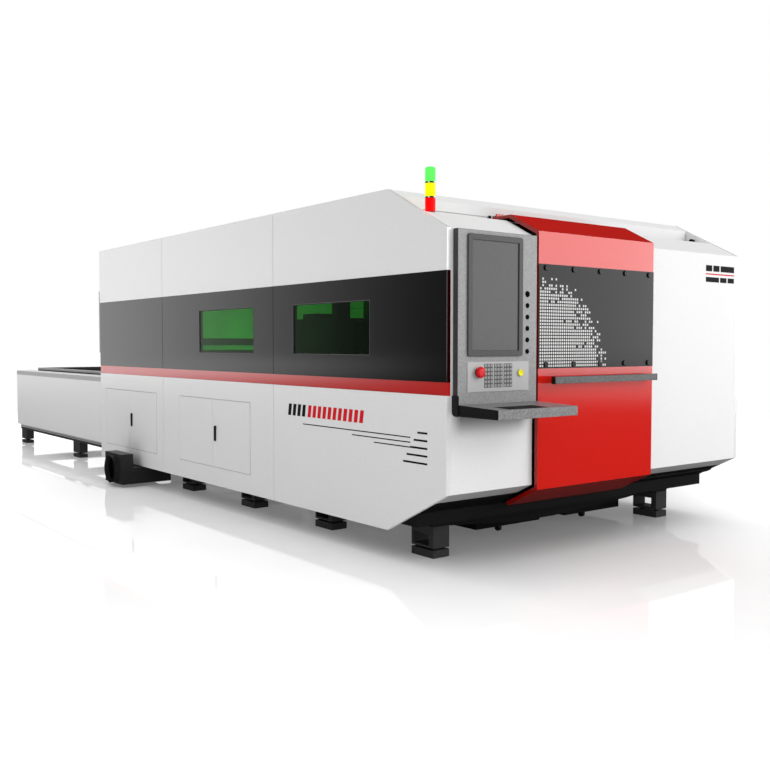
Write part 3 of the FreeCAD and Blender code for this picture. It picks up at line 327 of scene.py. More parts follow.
def striped_red(name, colour, end_shade_colour, ior):
    """Gloss stripe whose cut front end above the stripe gets a painted deep shade and a weaker
    reflection.
    """
    look = Looks(name)
    _, y, z = look.axes()
    front = look.math("LESS_THAN", y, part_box("red_side_bands")[0][1] + 0.0005)
    high = look.math("GREATER_THAN", z, STRIPE_TOP)
    cut = look.math("MULTIPLY", front, high)
    look.put(Base_Color=look.blend(cut, speckled(look, colour, 0.03, 60.0), end_shade_colour))
    look.put(Roughness=look.spread(look.noise(30.0), 0.08, 0.12))
    look.put(IOR=look.math("SUBTRACT", ior, look.math("MULTIPLY", front, ior - SHADED_END_IOR)))
    look.bump(look.noise(90.0, 2.0), 0.02, 0.0002)
    return look.material


PALLET_BAR = 0.079


def pallet_steel(name, bar_colour, slat_colour):
    """Painted side bars with burnt, spattered slats between them."""
    look = Looks(name)
    x, _, _ = look.axes()
    low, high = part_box("pallet_outer")
    middle = (low[0] + high[0]) / 2
    half = (high[0] - low[0]) / 2 - PALLET_BAR
    inside = look.math("LESS_THAN", look.math("ABSOLUTE", look.math("SUBTRACT", x, middle)), half)
    burnt = look.ramp(look.noise(55.0, 5.0, 0.7), shade(slat_colour, 0.5), shade(slat_colour, 1.6))
    look.put(Base_Color=look.blend(inside, speckled(look, bar_colour, 0.04), burnt))
    look.put(Roughness=look.spread(look.noise(50.0), 0.4, 0.6))
    look.bump(look.noise(160.0, 3.0), 0.3, 0.0004)
    return look.material


M = {
    "white": powder_coat("white_powder", (0.80, 0.80, 0.80), 0.2, vary=0.025, ior=1.85,
                         scale=90.0),
    "cover": powder_coat("cover_powder", (0.78, 0.78, 0.78), 0.3, vary=0.05, ior=1.9, scale=90.0),
    # Front cabinets: painted shade on faces that look left and down, and a painted shadow under the
    # keyboard tray.
    "front": powder_coat("front_powder", (0.79, 0.79, 0.79), 0.4, vary=0.02, ior=1.2,
                         side=(0.76, 0.76, 0.76), under_shade=(0.31, 0.31, 0.31), scale=90.0,
                         tray=(0.05, 0.05, 0.05)),
    "roof": powder_coat("roof_powder", (0.83, 0.83, 0.83), 0.4, vary=0.02, ior=1.3, scale=90.0),
    "grey": powder_coat("grey_powder", (0.42, 0.42, 0.43), 0.5),
    "trim": powder_coat("trim_powder", (0.45, 0.45, 0.455), 0.5, vary=0.06),
    "band": gloss_paint("band_gloss", (0.006, 0.006, 0.0065), 0.08, 1.5),
    "door_panel": dotted_panel("dotted_gloss", (0.008, 0.008, 0.0085), (0.64, 0.64, 0.64)),
    # Red door: the darker reds on faces that look left and down are painted shade.
    "red": gloss_paint("red_gloss", (0.61, 0.013, 0.008), 0.1, 1.5,
                       side=(0.28, 0.006, 0.004), under_shade=(0.20, 0.006, 0.004)),
    # The stripe's second colour is the painted deep shade of its cut front end.
    "stripe": striped_red("stripe_gloss", (0.52, 0.020, 0.018), (0.02, 0.0, 0.0), 2.35),
    "glass": tinted_glass("laser_glass", (0.22, 0.73, 0.22), 0.55),
    "black": powder_coat("black_powder", (0.010, 0.010, 0.0105), 0.4, vary=0.15, ior=1.1),
    # Console, door handle and keyboard tray: the near-black colour on faces that look left is
    # painted shade.
    "console": powder_coat("console_powder", (0.31, 0.31, 0.312), 0.36, vary=0.16, ior=1.3,
                           side=(0.05, 0.05, 0.051), scale=90.0),
    "handle": powder_coat("handle_powder", (0.10, 0.102, 0.102), 0.34, vary=0.5, ior=1.3,
                          side=(0.01, 0.01, 0.01), scale=90.0),
    "tray": powder_coat("tray_powder", (0.19, 0.192, 0.192), 0.3, vary=0.35, ior=1.4,
                        side=(0.01, 0.01, 0.01), scale=90.0),
    "foot": powder_coat("foot_powder", (0.042, 0.042, 0.0425), 0.4, vary=0.15, ior=1.15),
    "duct": powder_coat("duct_powder", (0.022, 0.022, 0.023), 0.4, vary=0.1, ior=1.35),
    "bezel": plastic("bezel_plastic", (0.065, 0.065, 0.066), 0.35, 800.0, 0.05, 1.3),
    "keypad": powder_coat("keypad_powder", (0.49, 0.49, 0.49), 0.35, vary=0.02, ior=1.3),
    "screen": plastic("screen_cover", (0.055, 0.055, 0.056), 0.12, 900.0, 0.004, 1.32),
    "keys": plastic("key_plastic", (0.34, 0.34, 0.34), 0.35, ior=1.3),
    # Dark plastic behind the keys, as painted shade in the gaps between them.
    "gap_shade": plastic("gap_shade_plastic", (0.13, 0.13, 0.13), 0.5, ior=1.2),
    "dark_plastic": plastic("dark_plastic", (0.008, 0.008, 0.009), 0.35, ior=1.3),
    "estop": plastic("estop_plastic", (0.72, 0.006, 0.012), 0.3, 300.0, 0.05, 1.3),
    "start": plastic("start_plastic", (1.0, 0.9, 0.0), 0.4, 300.0, 0.05, 1.2),
    "lens_red": lens("lens_red", (1.0, 0.0, 0.0), 1.0),
    "lens_amber": lens("lens_amber", (1.0, 0.98, 0.0), 1.0),
    "lens_green": lens("lens_green", (0.14, 1.0, 0.14), 1.0),
    "steel": metal("rail_steel", (0.5, 0.5, 0.51), 0.3),
    # Screw heads: the near-black colour on faces that look left is painted shade.
    "screw": gloss_paint("screw_gloss", (0.035, 0.035, 0.035), 0.2, 1.22,
                         side=(0.003, 0.003, 0.003)),
    "pallet": pallet_steel("pallet_paint", (0.55, 0.55, 0.56), (0.02, 0.019, 0.018)),
    "machinery": powder_coat("machinery_powder", (0.012, 0.012, 0.012), 0.5, vary=0.1, ior=1.3),
    "aluminium": metal("slide_aluminium", (0.25, 0.25, 0.26), 0.35, (40, 1, 1)),
    "bed": powder_coat("bed_powder", (0.02, 0.02, 0.021), 0.5, vary=0.1, ior=1.35),
    "rubber": plastic("wheel_rubber", (0.015, 0.015, 0.016), 0.6, ior=1.3),
    "ink": plastic("dark_print", (0.012, 0.012, 0.014), 0.5, ior=1.1),
    "red_ink": plastic("red_print", (0.62, 0.012, 0.02), 0.5, ior=1.1),
    "frame": plastic("window_trim", (0.10, 0.10, 0.10), 0.4, ior=1.3),
    "cream": plastic("buffer_cream", (0.6, 0.52, 0.36), 0.5),
    "lamp": plastic("lamp_black", (0.002, 0.002, 0.002), 0.5, ior=1.1),
}

NODE_LOOKS = {
    "white": ["left_upper_panels", "left_lower_panels", "right_upper_panels",
              "right_lower_panels", "rear_wall", "cabinet_door_middle_a",
              "cabinet_door_middle_b", "cabinet_door_rear_a", "cabinet_door_rear_b"],
    "cover": ["table_covers"],
    "roof": ["roof_panel"],
    "front": ["left_front_cabinet", "right_front_cabinet"],
    "grey": ["rear_hood", "electrical_tubs"],
    "band": ["dark_band_plates"],
    "door_panel": ["door_dark_panel"],
    "stripe": ["red_side_bands"],
    "red": ["door_shell"],
    "glass": ["viewing_windows"],
    "black": ["front_beam", "door_frame", "door_rails", "scrap_cart_1", "scrap_cart_2",
              "bed_frame"],
    "foot": ["bed_feet", "table_frame"],
    "duct": ["exhaust_duct", "exhaust_spigot"],
    "handle": ["door_handle"],
    "tray": ["keyboard_tray"],
    "console": ["console_housing"],
    "keypad": ["keypad_plate"],
    "screen": ["monitor_screen"],
    "dark_plastic": ["stack_light_rings"],
    "steel": ["door_roller_left", "door_roller_right", "gantry_rails"],
    "pallet": ["pallet_inner", "pallet_outer"],
    "machinery": ["gantry_beam"],
    "aluminium": ["cross_carriage", "cutting_head"],
    "bed": ["lift_carriage"],
    "rubber": ["scrap_cart_1_front_wheel", "scrap_cart_1_rear_wheels",
               "scrap_cart_2_front_wheel", "scrap_cart_2_rear_wheels"],
}

for look, names in NODE_LOOKS.items():
    for name in names:
        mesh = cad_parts[name].data
        mesh.materials.clear()
        mesh.materials.append(M[look])

# ---- softened edges on the sheet-metal nodes

WELD_REACH = 0.00002
FOLD_ANGLE = math.radians(25)
SMOOTH_ANGLE = math.radians(35)

# Rounding of each node's edges in millimetres.
EDGE_ROUNDING = {
    "left_upper_panels": 1.5, "left_lower_panels": 1.5, "right_upper_panels": 1.5,
    "right_lower_panels": 1.5, "roof_panel": 4, "left_front_cabinet": 1.5,
    "right_front_cabinet": 1.5, "rear_hood": 3, "table_covers": 4,
    "door_handle": 3, "keyboard_tray": 3, "console_housing": 6, "dark_band_plates": 1,
    "door_dark_panel": 0.8, "cabinet_door_middle_a": 1.5, "cabinet_door_middle_b": 1.5,
    "cabinet_door_rear_a": 1.5, "cabinet_door_rear_b": 1.5, "bed_feet": 3, "exhaust_duct": 3,
    "table_frame": 4, "lift_carriage": 3, "gantry_beam": 4,
    "cross_carriage": 3,
}


def round_edges(thing, width, segments=2):
    rounding = thing.modifiers.new("rounding", "BEVEL")
    rounding.width = width / 1000
    rounding.segments = segments
    rounding.limit_method = "ANGLE"
    rounding.angle_limit = FOLD_ANGLE
    rounding.harden_normals = True


for name, width in EDGE_ROUNDING.items():
    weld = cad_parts[name].modifiers.new("weld", "WELD")
    weld.merge_threshold = WELD_REACH
    round_edges(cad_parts[name], width)

# ---- mesh building

PLACERS = {
    "X": lambda u, v, w: at(w, u, v),
    "Y": lambda u, v, w: at(u, w, v),
    "Z": lambda u, v, w: at(u, v, w),
}


def box_outline(u0, v0, u1, v1):
    return [(u0, v0), (u1, v0), (u1, v1), (u0, v1)]


def round_outline(u0, v0, u1, v1, radius, steps=6):
    """A rectangle with arcs at its corners."""
    points = []
    corners = ((u1 - radius, v1 - radius, 0), (u0 + radius, v1 - radius, 90),
               (u0 + radius, v0 + radius, 180), (u1 - radius, v0 + radius, 270))
    for cu, cv, start in corners:
        for step in range(steps + 1):
            angle = math.radians(start + 90 * step / steps)
            points.append((cu + radius * math.cos(angle), cv + radius * math.sin(angle)))
    return points


class Shape:
    """Solids gathered in one mesh; outlines lie across the named machine axis."""

    def __init__(self):
        self.mesh = bmesh.new()

    def loop(self, axis, outline, w):
        return [self.mesh.verts.new(PLACERS[axis](u, v, w)) for u, v in outline]

    def bridge(self, first, second):
        count = len(first)
        for i in range(count):
            j = (i + 1) % count
            self.mesh.faces.new((first[i], first[j], second[j], second[i]))

    def slab(self, axis, low, high, outline):
        bottom = self.loop(axis, outline, low)
        top = self.loop(axis, outline, high)
        self.mesh.faces.new(bottom)
        self.mesh.faces.new(top)
        self.bridge(bottom, top)
        return self

    def ring(self, axis, low, high, outer, inner):
        """A frame between two outlines of the same number of points."""
        loops = [self.loop(axis, outline, w)
                 for outline, w in ((outer, low), (outer, high), (inner, high), (inner, low))]
        for i in range(4):
            self.bridge(loops[i], loops[(i + 1) % 4])
        return self

    def turn(self, axis, centre, profile, steps=40):
        """Revolves (radius, distance along the axis) pairs about the axis."""
        rings = []
        for radius, w in profile:
            if radius == 0:
                rings.append([self.mesh.verts.new(PLACERS[axis](*centre, w))])
                continue
            circle = [(centre[0] + radius * math.cos(2 * math.pi * i / steps),
                       centre[1] + radius * math.sin(2 * math.pi * i / steps))
                      for i in range(steps)]
            rings.append(self.loop(axis, circle, w))
        for first, second in zip(rings, rings[1:]):
            if len(first) == 1 or len(second) == 1:
                tip, rim = (first[0], second) if len(first) == 1 else (second[0], first)
                for i in range(steps):
                    self.mesh.faces.new((tip, rim[i], rim[(i + 1) % steps]))
            else:
                self.bridge(first, second)
        return self

    def piece(self, name, body, look, rounding=0, segments=2):
        bmesh.ops.recalc_face_normals(self.mesh, faces=self.mesh.faces)
        mesh = bpy.data.meshes.new(name)
        self.mesh.to_mesh(mesh)
        self.mesh.free()
        mesh.materials.append(M[look])
        mesh.shade_smooth()
        thing = bpy.data.objects.new(name, mesh)
        bpy.context.collection.objects.link(thing)
        if rounding:
            round_edges(thing, rounding, segments)
        else:
            mesh.set_sharp_from_angle(angle=SMOOTH_ANGLE)
        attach(thing, body)
        return thing


def turned_piece(name, body, look, axis, centre, profile, steps=40):
    return Shape().turn(axis, centre, profile, steps).piece(name, body, look)


# ---- operator console

CONTROL_FACE = -47.0    # front of the keypad plate
LAMP_PITCH = 70


def console_pieces():
    low, _ = reach("console_housing")
    face = low.y
    bottom, top, bend, lip = 941, 1062, 28, 14
    bracket = [(0, top), (face - lip, top), (face - lip, bottom)]
    bracket += [(-bend + bend * math.cos(math.radians(270 + 15 * i)),
                 bottom + bend + bend * math.sin(math.radians(270 + 15 * i))) for i in range(7)]
    Shape().slab("X", low.x - 7, low.x, bracket).piece("tray_bracket", "machine",
                                                       "dark_plastic", 2.5)

    low, high = reach("monitor_bezel")
    narrower, thinner = 8, 7
    outer = round_outline(low.x, low.z, high.x - narrower, high.z, 14)
    screen_low, screen_high = reach("monitor_screen")
    inner = round_outline(screen_low.x, screen_low.z, screen_high.x - narrower, screen_high.z, 3)
    bezel = Shape().ring("Y", low.y + thinner, face, outer, inner)
    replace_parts(bezel.piece("bezel_moulding", "machine", "bezel", 3), "monitor_bezel")

    # The mat lies on the tray's top, which rises from 997 at its lip to 1010 at the console.
    lip_y, slope = -378, (1010 - 997) / (378 - 43)
    y0, y1, upper, lower = -366, -235, 997.8, 990
    pad = [(y, z + slope * (y - lip_y))
           for y, z in ((y0, upper), (y1, upper), (y1, lower), (y0, lower))]
    Shape().slab("X", 150, 465, pad).piece("tray_mat", "machine", "ink", 0.6)


def control_pieces():
    low, high = reach("keypad_keys")
    front = CONTROL_FACE
    # The dark plates behind the key clusters are painted shade in the gaps between the keys.
    gap_shades = Shape()
    caps = Shape()
    key_wide, key_tall, pitch, cluster, margin = 18, 16, 24, 80, 3
    for group in range(3):
        x0 = low.x + group * cluster
        gap_shades.slab("Y", front - 0.8, front, round_outline(
            x0 - margin, low.z - margin, x0 + 2 * pitch + key_wide + margin, high.z + margin,
            3, 3))
        for column in range(3):
            for row in range(6):
                x = x0 + column * pitch
                z = low.z + row * pitch
                caps.slab("Y", front - 3.4, front, round_outline(
                    x, z, x + key_wide - 1, z + key_tall, 3, 3))
    gap_shades.piece("key_gap_shades", "machine", "gap_shade", 0.4)
    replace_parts(caps.piece("key_caps", "machine", "keys", 0.8), "keypad_keys")

    low, high = reach("estop_button")
    centre = ((low.x + high.x) / 2, (low.z + high.z) / 2)
    radius = (high.x - low.x) / 2
    back = low.y + 20
    cap = turned_piece("estop_cap", "estop", "estop", "Y", centre, [
        (0, back), (radius - 3, back), (radius, back - 3), (radius, back - 7),
        (radius - 3.5, back - 9), (radius - 4, back - 16), (radius - 8, back - 19.2),
        (radius - 14, back - 20), (0, back - 19)], 48)
    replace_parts(cap, "estop_button")
    turned_piece("estop_collar", "machine", "dark_plastic", "Y", centre, [
        (16, front), (26, front), (26, front - 3), (22, front - 8), (16, front - 8)], 40)
    Shape().turn("Y", centre, [(13.6, back), (13.6, front - 7)], 24).piece(
        "estop_shank", "estop", "steel")

    low, high = reach("start_button")
    centre = ((low.x + high.x) / 2, (low.z + high.z) / 2)
    radius = (high.x - low.x) / 2
    cap = turned_piece("start_cap", "start_control", "start", "Y", centre, [
        (0, high.y), (radius, high.y), (radius, low.y + 1.5), (radius - 1.5, low.y),
        (radius - 5, low.y), (radius - 6.5, low.y + 0.8), (0, low.y + 0.8)])
    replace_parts(cap, "start_button")

    low, high = reach("status_lamps")
    x = (low.x + high.x) / 2
    lamps = Shape()
    rims = Shape()
    for row in range(6):
        z = low.z + 13 + row * LAMP_PITCH
        grow = 1.45 if row == 5 else 1.2
        lamps.turn("Y", (x, z), [(0, low.y), (6 * grow, low.y), (9.5 * grow, low.y + 1.5),
                                 (10.5 * grow, low.y + 4), (10.5 * grow, high.y)], 24)
        rims.turn("Y", (x, z), [(10.5 * grow, high.y - 3.5), (12.5 * grow, high.y - 3),
                                (12.9 * grow, high.y)], 24)
    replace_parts(lamps.piece("lamp_lenses", "machine", "lamp"), "status_lamps")
    rims.piece("lamp_rims", "machine", "lamp")


# ---- stack light

def stack_light_pieces():
    """Ribbed lenses, slimmer than the solids, with black rings between them that carry small white
    blocks as painted highlights.
    """
    seam = 1.5
    slimmer = 5
    for colour in ("red", "amber", "green"):
        low, high = reach(f"stack_light_{colour}")
        centre = ((low.x + high.x) / 2, (low.y + high.y) / 2)
        radius = (high.x - low.x) / 2 - slimmer
        bottom, top = low.z + seam, high.z - seam
        profile = [(0, bottom), (radius - 4, bottom), (radius - 1, bottom + 1.5),
                   (radius, bottom + 5)]
        for rib in range(1, 8):
            z = bottom + 5 + rib * (top - bottom - 10) / 8
            profile += [(radius, z - 1.2), (radius - 0.7, z), (radius, z + 1.2)]
        profile += [(radius, top - 5), (radius - 1, top - 1.5), (radius - 4, top), (0, top)]
        shell = turned_piece(f"lens_{colour}", "machine", f"lens_{colour}", "Z", centre,
                             profile, 48)
        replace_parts(shell, f"stack_light_{colour}")
    low, high = reach("stack_light_rings")
    Shape().turn("Z", centre, [(radius - 5, top), (radius - 1, top + 2), (radius - 5, high.z - 2),
                               (radius - 10, high.z), (0, high.z)], 48).piece(
        "beacon_cap", "machine", "lens_green")
    rings = Shape()
    # Small white blocks on the black rings are painted highlights.
    ring_glints = Shape()
    rings.turn("Z", centre, [(0, low.z), (radius + 2, low.z), (radius + 2, low.z + 3),
                             (radius - 4, low.z + 8), (0, low.z + 8)], 48)
    for colour in ("red", "amber"):
        _, top = reach(f"stack_light_{colour}")
        rings.turn("Z", centre, [(0, top.z - seam), (radius - 2, top.z - seam),
                                 (radius - 2, top.z + 6 + seam), (0, top.z + 6 + seam)], 48)
        for tooth in range(5):
            angle = math.radians(-75 + 72 * tooth)
            u = centre[0] + (radius - 4) * math.cos(angle)
            v = centre[1] + (radius - 4) * math.sin(angle)
            ring_glints.slab("Z", top.z - 0.5, top.z + 6.5, box_outline(u - 5, v - 5, u + 5, v + 5))
    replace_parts(rings.piece("beacon_rings", "machine", "dark_plastic"), "stack_light_rings")
    ring_glints.piece("beacon_ring_glints", "machine", "white", 0.8)
    bolts = Shape()
    bolt_reach = 62
    for x in (centre[0] - bolt_reach, centre[0] + bolt_reach):
        bolts.turn("Z", (x, centre[1]), [(0, low.z), (7, low.z), (7, low.z + 4), (4, low.z + 6),
                                         (0, low.z + 6)], 20)
    bolts.piece("beacon_bolts", "machine", "steel")


# ---- sliding door

def door_pieces():
    low, high = reach("door_screws")
    heads = Shape()
    sockets = Shape()
    radius = 18.0
    for z in (low.z + radius, high.z - radius):
        for column in range(5):
            x = low.x + radius + column * (high.x - low.x - 2 * radius) / 4
            heads.turn("Y", (x, z), [(0, high.y), (radius, high.y), (radius, low.y + 3.5),
                                     (radius - 1.2, low.y + 1), (radius - 3.5, low.y),
                                     (radius - 4.3, low.y), (7.7, low.y), (7, low.y),
                                     (6.4, low.y + 3), (0, low.y + 3)], 32)
            outer, inner = ([(x + size * math.cos(a), z + size * math.sin(a))
                             for a in (math.radians(60 * i) for i in range(6))]
                            for size in (7.4, 5.0))
            sockets.ring("Y", low.y + 0.1, low.y + 1.2, outer, inner)
    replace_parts(heads.piece("screw_heads", "front_door", "screw"), "door_screws")
    sockets.piece("screw_sockets", "front_door", "dark_plastic")

    low, high = reach("door_handle")
    caps = Shape()
    bar_back = -91.5
    for x0, x1 in ((low.x - 2, low.x + 5), (high.x - 5, high.x + 2)):
        caps.slab("X", x0, x1, round_outline(low.y - 0.5, low.z - 0.5, bar_back, high.z + 0.5,
                                             3, 3))
    caps.piece("handle_caps", "front_door", "dark_plastic", 1)


def ledge_pieces():
    """Rings of the end buffers, and a thin grey rod along the ledge as painted shade for the dark
    line at the slope's top edge.
    """
    y, z = 388.0, 2186.0
    bore = 12.8
    dark = Shape()
    for x in (733, 748, 2930, 2950):
        dark.turn("X", (y, z), [(bore, x), (15, x + 1), (15, x + 6), (bore, x + 7)], 32)
    dark.piece("buffer_rings", "machine", "dark_plastic")
    for name, look, places in (("buffer_collars", "white", (716, 741)),
                               ("buffer_washer", "cream", (724,))):
        rings = Shape()
        for x in places:
            rings.turn("X", (y, z), [(bore, x), (14.2, x + 1), (14.2, x + 6), (bore, x + 7)], 32)
        rings.piece(name, "machine", look)
    # A thin grey rod along the ledge: painted shade for the dark line at the slope's top edge.
    Shape().turn("X", (y, 2190), [(0, 150), (3.5, 150), (3.5, 700), (0, 700)], 16).piece(
        "ledge_shade_line", "machine", "grey")


# ---- left side

WINDOW_FRONTS = (745, 2240)
WINDOW_LENGTH = 918
WINDOW_LOW, WINDOW_HIGH = 1294, 1642


def window_outline(front, across=0, up=0):
    """A window opening, drawn in along the side and in height."""
    return box_outline(front + across, WINDOW_LOW + up,
                       front + WINDOW_LENGTH - across, WINDOW_HIGH - up)


def window_pieces():
    frames = Shape()
    gaskets = Shape()
    for front in WINDOW_FRONTS:
        opening = window_outline(front)
        frames.ring("X", -1.2, 1.0, window_outline(front, -4, -4), opening)
        frames.ring("X", 2996.5, 2999.5, opening, window_outline(front, 5, 5))
        for x0, x1 in ((10.1, 31), (2969, 2989.9)):
            gaskets.ring("X", x0, x1, opening, window_outline(front, 2, 2))
        for x0, x1 in ((3.0, 3.9), (2996.1, 2996.4)):
            gaskets.ring("X", x0, x1, window_outline(front, 0.5, 0.5),
                         window_outline(front, 5, 4))
    frames.piece("window_trims", "machine", "frame", 0.5)
    gaskets.piece("window_gaskets", "machine", "dark_plastic", 0.1)


def interior_pieces():
    """What shows through the windows: wall liners, a rail and covers on the gantry."""
    liners = Shape()
    bottom, top = 1066, 1786
    gaps = [(front - 7, front + WINDOW_LENGTH + 7) for front in WINDOW_FRONTS]
    posts = ((470, gaps[0][0]), (gaps[0][1], gaps[1][0]), (gaps[1][1], 5418))
    for x0, x1 in ((30.5, 33), (2967, 2969.5)):
        for y0, y1 in posts:
            liners.slab("X", x0, x1, box_outline(y0, bottom, y1, top))
        for y0, y1 in gaps:
            for z0, z1 in ((bottom, WINDOW_LOW - 8), (WINDOW_HIGH + 8, top)):
                liners.slab("X", x0, x1, box_outline(y0, z0, y1, z1))
    liners.piece("wall_liners", "machine", "white", 0.6)
    dark = Shape()
    dark.slab("Y", 5403, 5422, box_outline(560, 1350, 2000, 1427))
    dark.slab("Y", 5409, 5422, box_outline(560, 1252, 2000, 1297))
    dark.slab("Y", 5406, 5422, box_outline(2000, 1272, 2960, 1655))
    dark.piece("rear_wall_rails", "machine", "machinery", 2)
    cover = Shape().slab("Z", 1552, 1712, round_outline(258, 1482, 378, 1556, 8, 4))
    fold_pitch, ridge = 19, 11
    for fold in range(9):
        y = 1962 + fold * fold_pitch
        cover.slab("Y", y, y + ridge, box_outline(262, 1206, 430, 1552))
        cover.slab("Y", y + ridge, y + fold_pitch, box_outline(268, 1212, 424, 1546))
    cover.piece("gantry_covers", "gantry", "machinery", 1.5)


PRINT_FACE = (-0.7, 0.5)    # a print's front and back across its panel


def stripes():
    """Plain pinstripes and dashes on the front part of the left side."""
    dark = Shape()
    red = Shape()
    lean, dash_long, dash_pitch, dash_low, dash_high = 14, 40, 62, 848, 932
    for row, rear in enumerate((1540, 940, 700)):
        dark.slab("X", *PRINT_FACE, box_outline(330, 792 - row * 30, rear, 799 - row * 30))
    for shape, rearmost, count in ((dark, 1700, 4), (red, 1440, 11)):
        for i in range(count):
            y0 = rearmost - i * dash_pitch
            y1 = y0 + dash_long
            shape.slab("X", *PRINT_FACE, [(y0, dash_low), (y1, dash_low),
                                          (y1 - lean, dash_high), (y0 - lean, dash_high)])
    for row in range(5):
        dark.slab("X", *PRINT_FACE, box_outline(170, 640 + row * 46, 400 - row * 34,
                                                652 + row * 46))
    dark.piece("side_pinstripes", "machine", "ink", 0.15)
    red.piece("side_dashes", "machine", "red_ink", 0.15)


def badge_stripes():
    """Plain bars high on the right cabinet."""
    dark = Shape()
    red = Shape()
    left, right = 2560, 2930
    for x0, x1 in ((left, 2640), (2655, 2735), (2750, right)):
        dark.slab("Y", *PRINT_FACE, box_outline(x0, 1905, x1, 1950))
    red.slab("Y", *PRINT_FACE, box_outline(left, 1880, right, 1889))
    for x0, x1 in ((left, 2730), (2745, 2830), (2845, right)):
        dark.slab("Y", *PRINT_FACE, box_outline(x0, 1825, x1, 1862))
    dark.piece("cabinet_bars", "machine", "ink", 0.15)
    red.piece("cabinet_line", "machine", "red_ink", 0.15)


def latch_pieces():
    for place in ("middle", "rear"):
        low, high = reach(f"cabinet_latch_{place}")
        y = (low.y + high.y) / 2
        lever = Shape().slab("X", low.x, -2, round_outline(low.y, low.z, high.y, high.z, 11, 6))
        pivot_z = high.z - 17
        lever.turn("X", (y, pivot_z), [(9, -3), (9, 0), (5, 0), (5, high.x)], 24)
        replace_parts(lever.piece(f"latch_lever_{place}", f"latch_{place}", "dark_plastic", 2),
                    f"cabinet_latch_{place}")
        outer, inner = (round_outline(y - size, pivot_z - size, y + size, pivot_z + size, radius, 4)
                        for size, radius in ((17, 8), (10, 9.9)))
        Shape().ring("X", -1.6, 0, outer, inner).piece(
            f"latch_plate_{place}", f"leaf_{place}_a", "steel", 0.4)


def corner_trim():
    Shape().slab("Y", -1.2, 3, box_outline(2966, 1056, 3000, 1796)).piece(
        "right_corner_trim", "machine", "white", 0.5)


# ---- table

def table_pieces():
    low, high = reach("table_covers")
    bands = Shape()
    for x0, x1 in ((low.x - 1.5, low.x + 1), (high.x - 1, high.x + 1.5)):
        bands.slab("X", x0, x1, box_outline(low.y + 2, 949, high.y - 2, 999))
    bands.piece("cover_trim_bands", "machine", "trim", 0.5)
    low, high = reach("table_frame")
    pale = Shape()
    dark = Shape()
    for x0, x1 in ((low.x - 3, low.x + 1), (high.x - 1, high.x + 3)):
        pale.slab("X", x0, x1, box_outline(low.y + 5, 232, high.y - 5, 286))
        pale.slab("X", x0 + 1, x1 - 1, box_outline(low.y + 5, 216, high.y - 5, 226))
        dark.slab("X", x0 + 1, x1 - 1, box_outline(low.y + 5, 226, high.y - 5, 232))
    pale.piece("table_side_channels", "machine", "trim", 0.8)
    dark.piece("table_side_grooves", "machine", "dark_plastic", 0.4)


def pallet_pieces():
    for body, node in (("outer_pallet", "pallet_outer"), ("inner_pallet", "pallet_inner")):
        low, high = reach(node)
        # Dark strips just under the side bars' flanges are painted shade.
        flange_shades = Shape()
        flanges = Shape()
        for x0, x1 in ((low.x - 1.5, low.x + 1), (high.x - 1, high.x + 1.5)):
            flange_shades.slab("X", x0, x1, box_outline(low.y + 14, low.z + 72, high.y - 14, low.z + 92))
            flanges.slab("X", x0 - 1.5, x1 + 1.5,
                         box_outline(low.y + 12, low.z + 92, high.y - 12, low.z + 117))
        flange_shades.piece(f"{body}_grooves", body, "bed", 0.5)
        flanges.piece(f"{body}_flanges", body, "trim", 1.5)
        ends = Shape()
        for y0, y1 in ((low.y - 1.5, low.y + 2), (high.y - 2, high.y + 1.5)):
            for x0, x1 in ((low.x + 2, low.x + 78), (high.x - 78, high.x - 2)):
                ends.slab("Y", y0, y1, round_outline(x0, low.z + 4, x1, low.z + 114, 6, 3))
        ends.piece(f"{body}_end_caps", body, "dark_plastic", 0.8)


# ---- duct

def duct_pieces():
    low, high = reach("exhaust_spigot")
    centre = ((low.y + high.y) / 2, (low.z + high.z) / 2)
    bore, rim = 122.4, 131
    bead = Shape().turn("X", centre, [(bore, low.x + 3), (123.5, low.x), (128.5, low.x),
                                      (rim, low.x + 3), (rim, low.x + 7), (130, low.x + 8),
                                      (bore, low.x + 8)], 72)
    bead.piece("spigot_bead", "machine", "black")


console_pieces()
control_pieces()
stack_light_pieces()
door_pieces()
ledge_pieces()
window_pieces()
interior_pieces()
stripes()
badge_stripes()
latch_pieces()
corner_trim()
table_pieces()
pallet_pieces()
duct_pieces()

# ---- studio

CAMERA_PLACE = Vector((-4.9235, -8.4892, 1.3626))
CAMERA_PITCH = -2.53
CAMERA_YAW = 37.58
LENS = 43.34
SENSOR_WIDTH = 36
VIEW_DEPTH = 200

camera_data = bpy.data.cameras.new("camera")
camera = bpy.data.objects.new("camera", camera_data)
bpy.context.collection.objects.link(camera)
camera.location = CAMERA_PLACE
camera.rotation_euler = (math.radians(90 + CAMERA_PITCH), 0, math.radians(-CAMERA_YAW))
camera_data.lens = LENS
camera_data.sensor_width = SENSOR_WIDTH
camera_data.clip_end = VIEW_DEPTH
bpy.context.scene.camera = camera


class WorldLooks(Looks):
    """The same helpers on the world's own tree."""

    def __init__(self, name):
        world = bpy.data.worlds.new(name)
        bpy.context.scene.world = world
        world.use_nodes = True
        world.cycles.sampling_method = "NONE"
        self.tree = world.node_tree
        self.backdrop = self.tree.nodes["Background"]
        self.backdrop.inputs["Color"].default_value = (1, 1, 1, 1)
        self.place = self.add("ShaderNodeTexCoord").outputs["Generated"]


DIFFUSE_SKY = 0.80


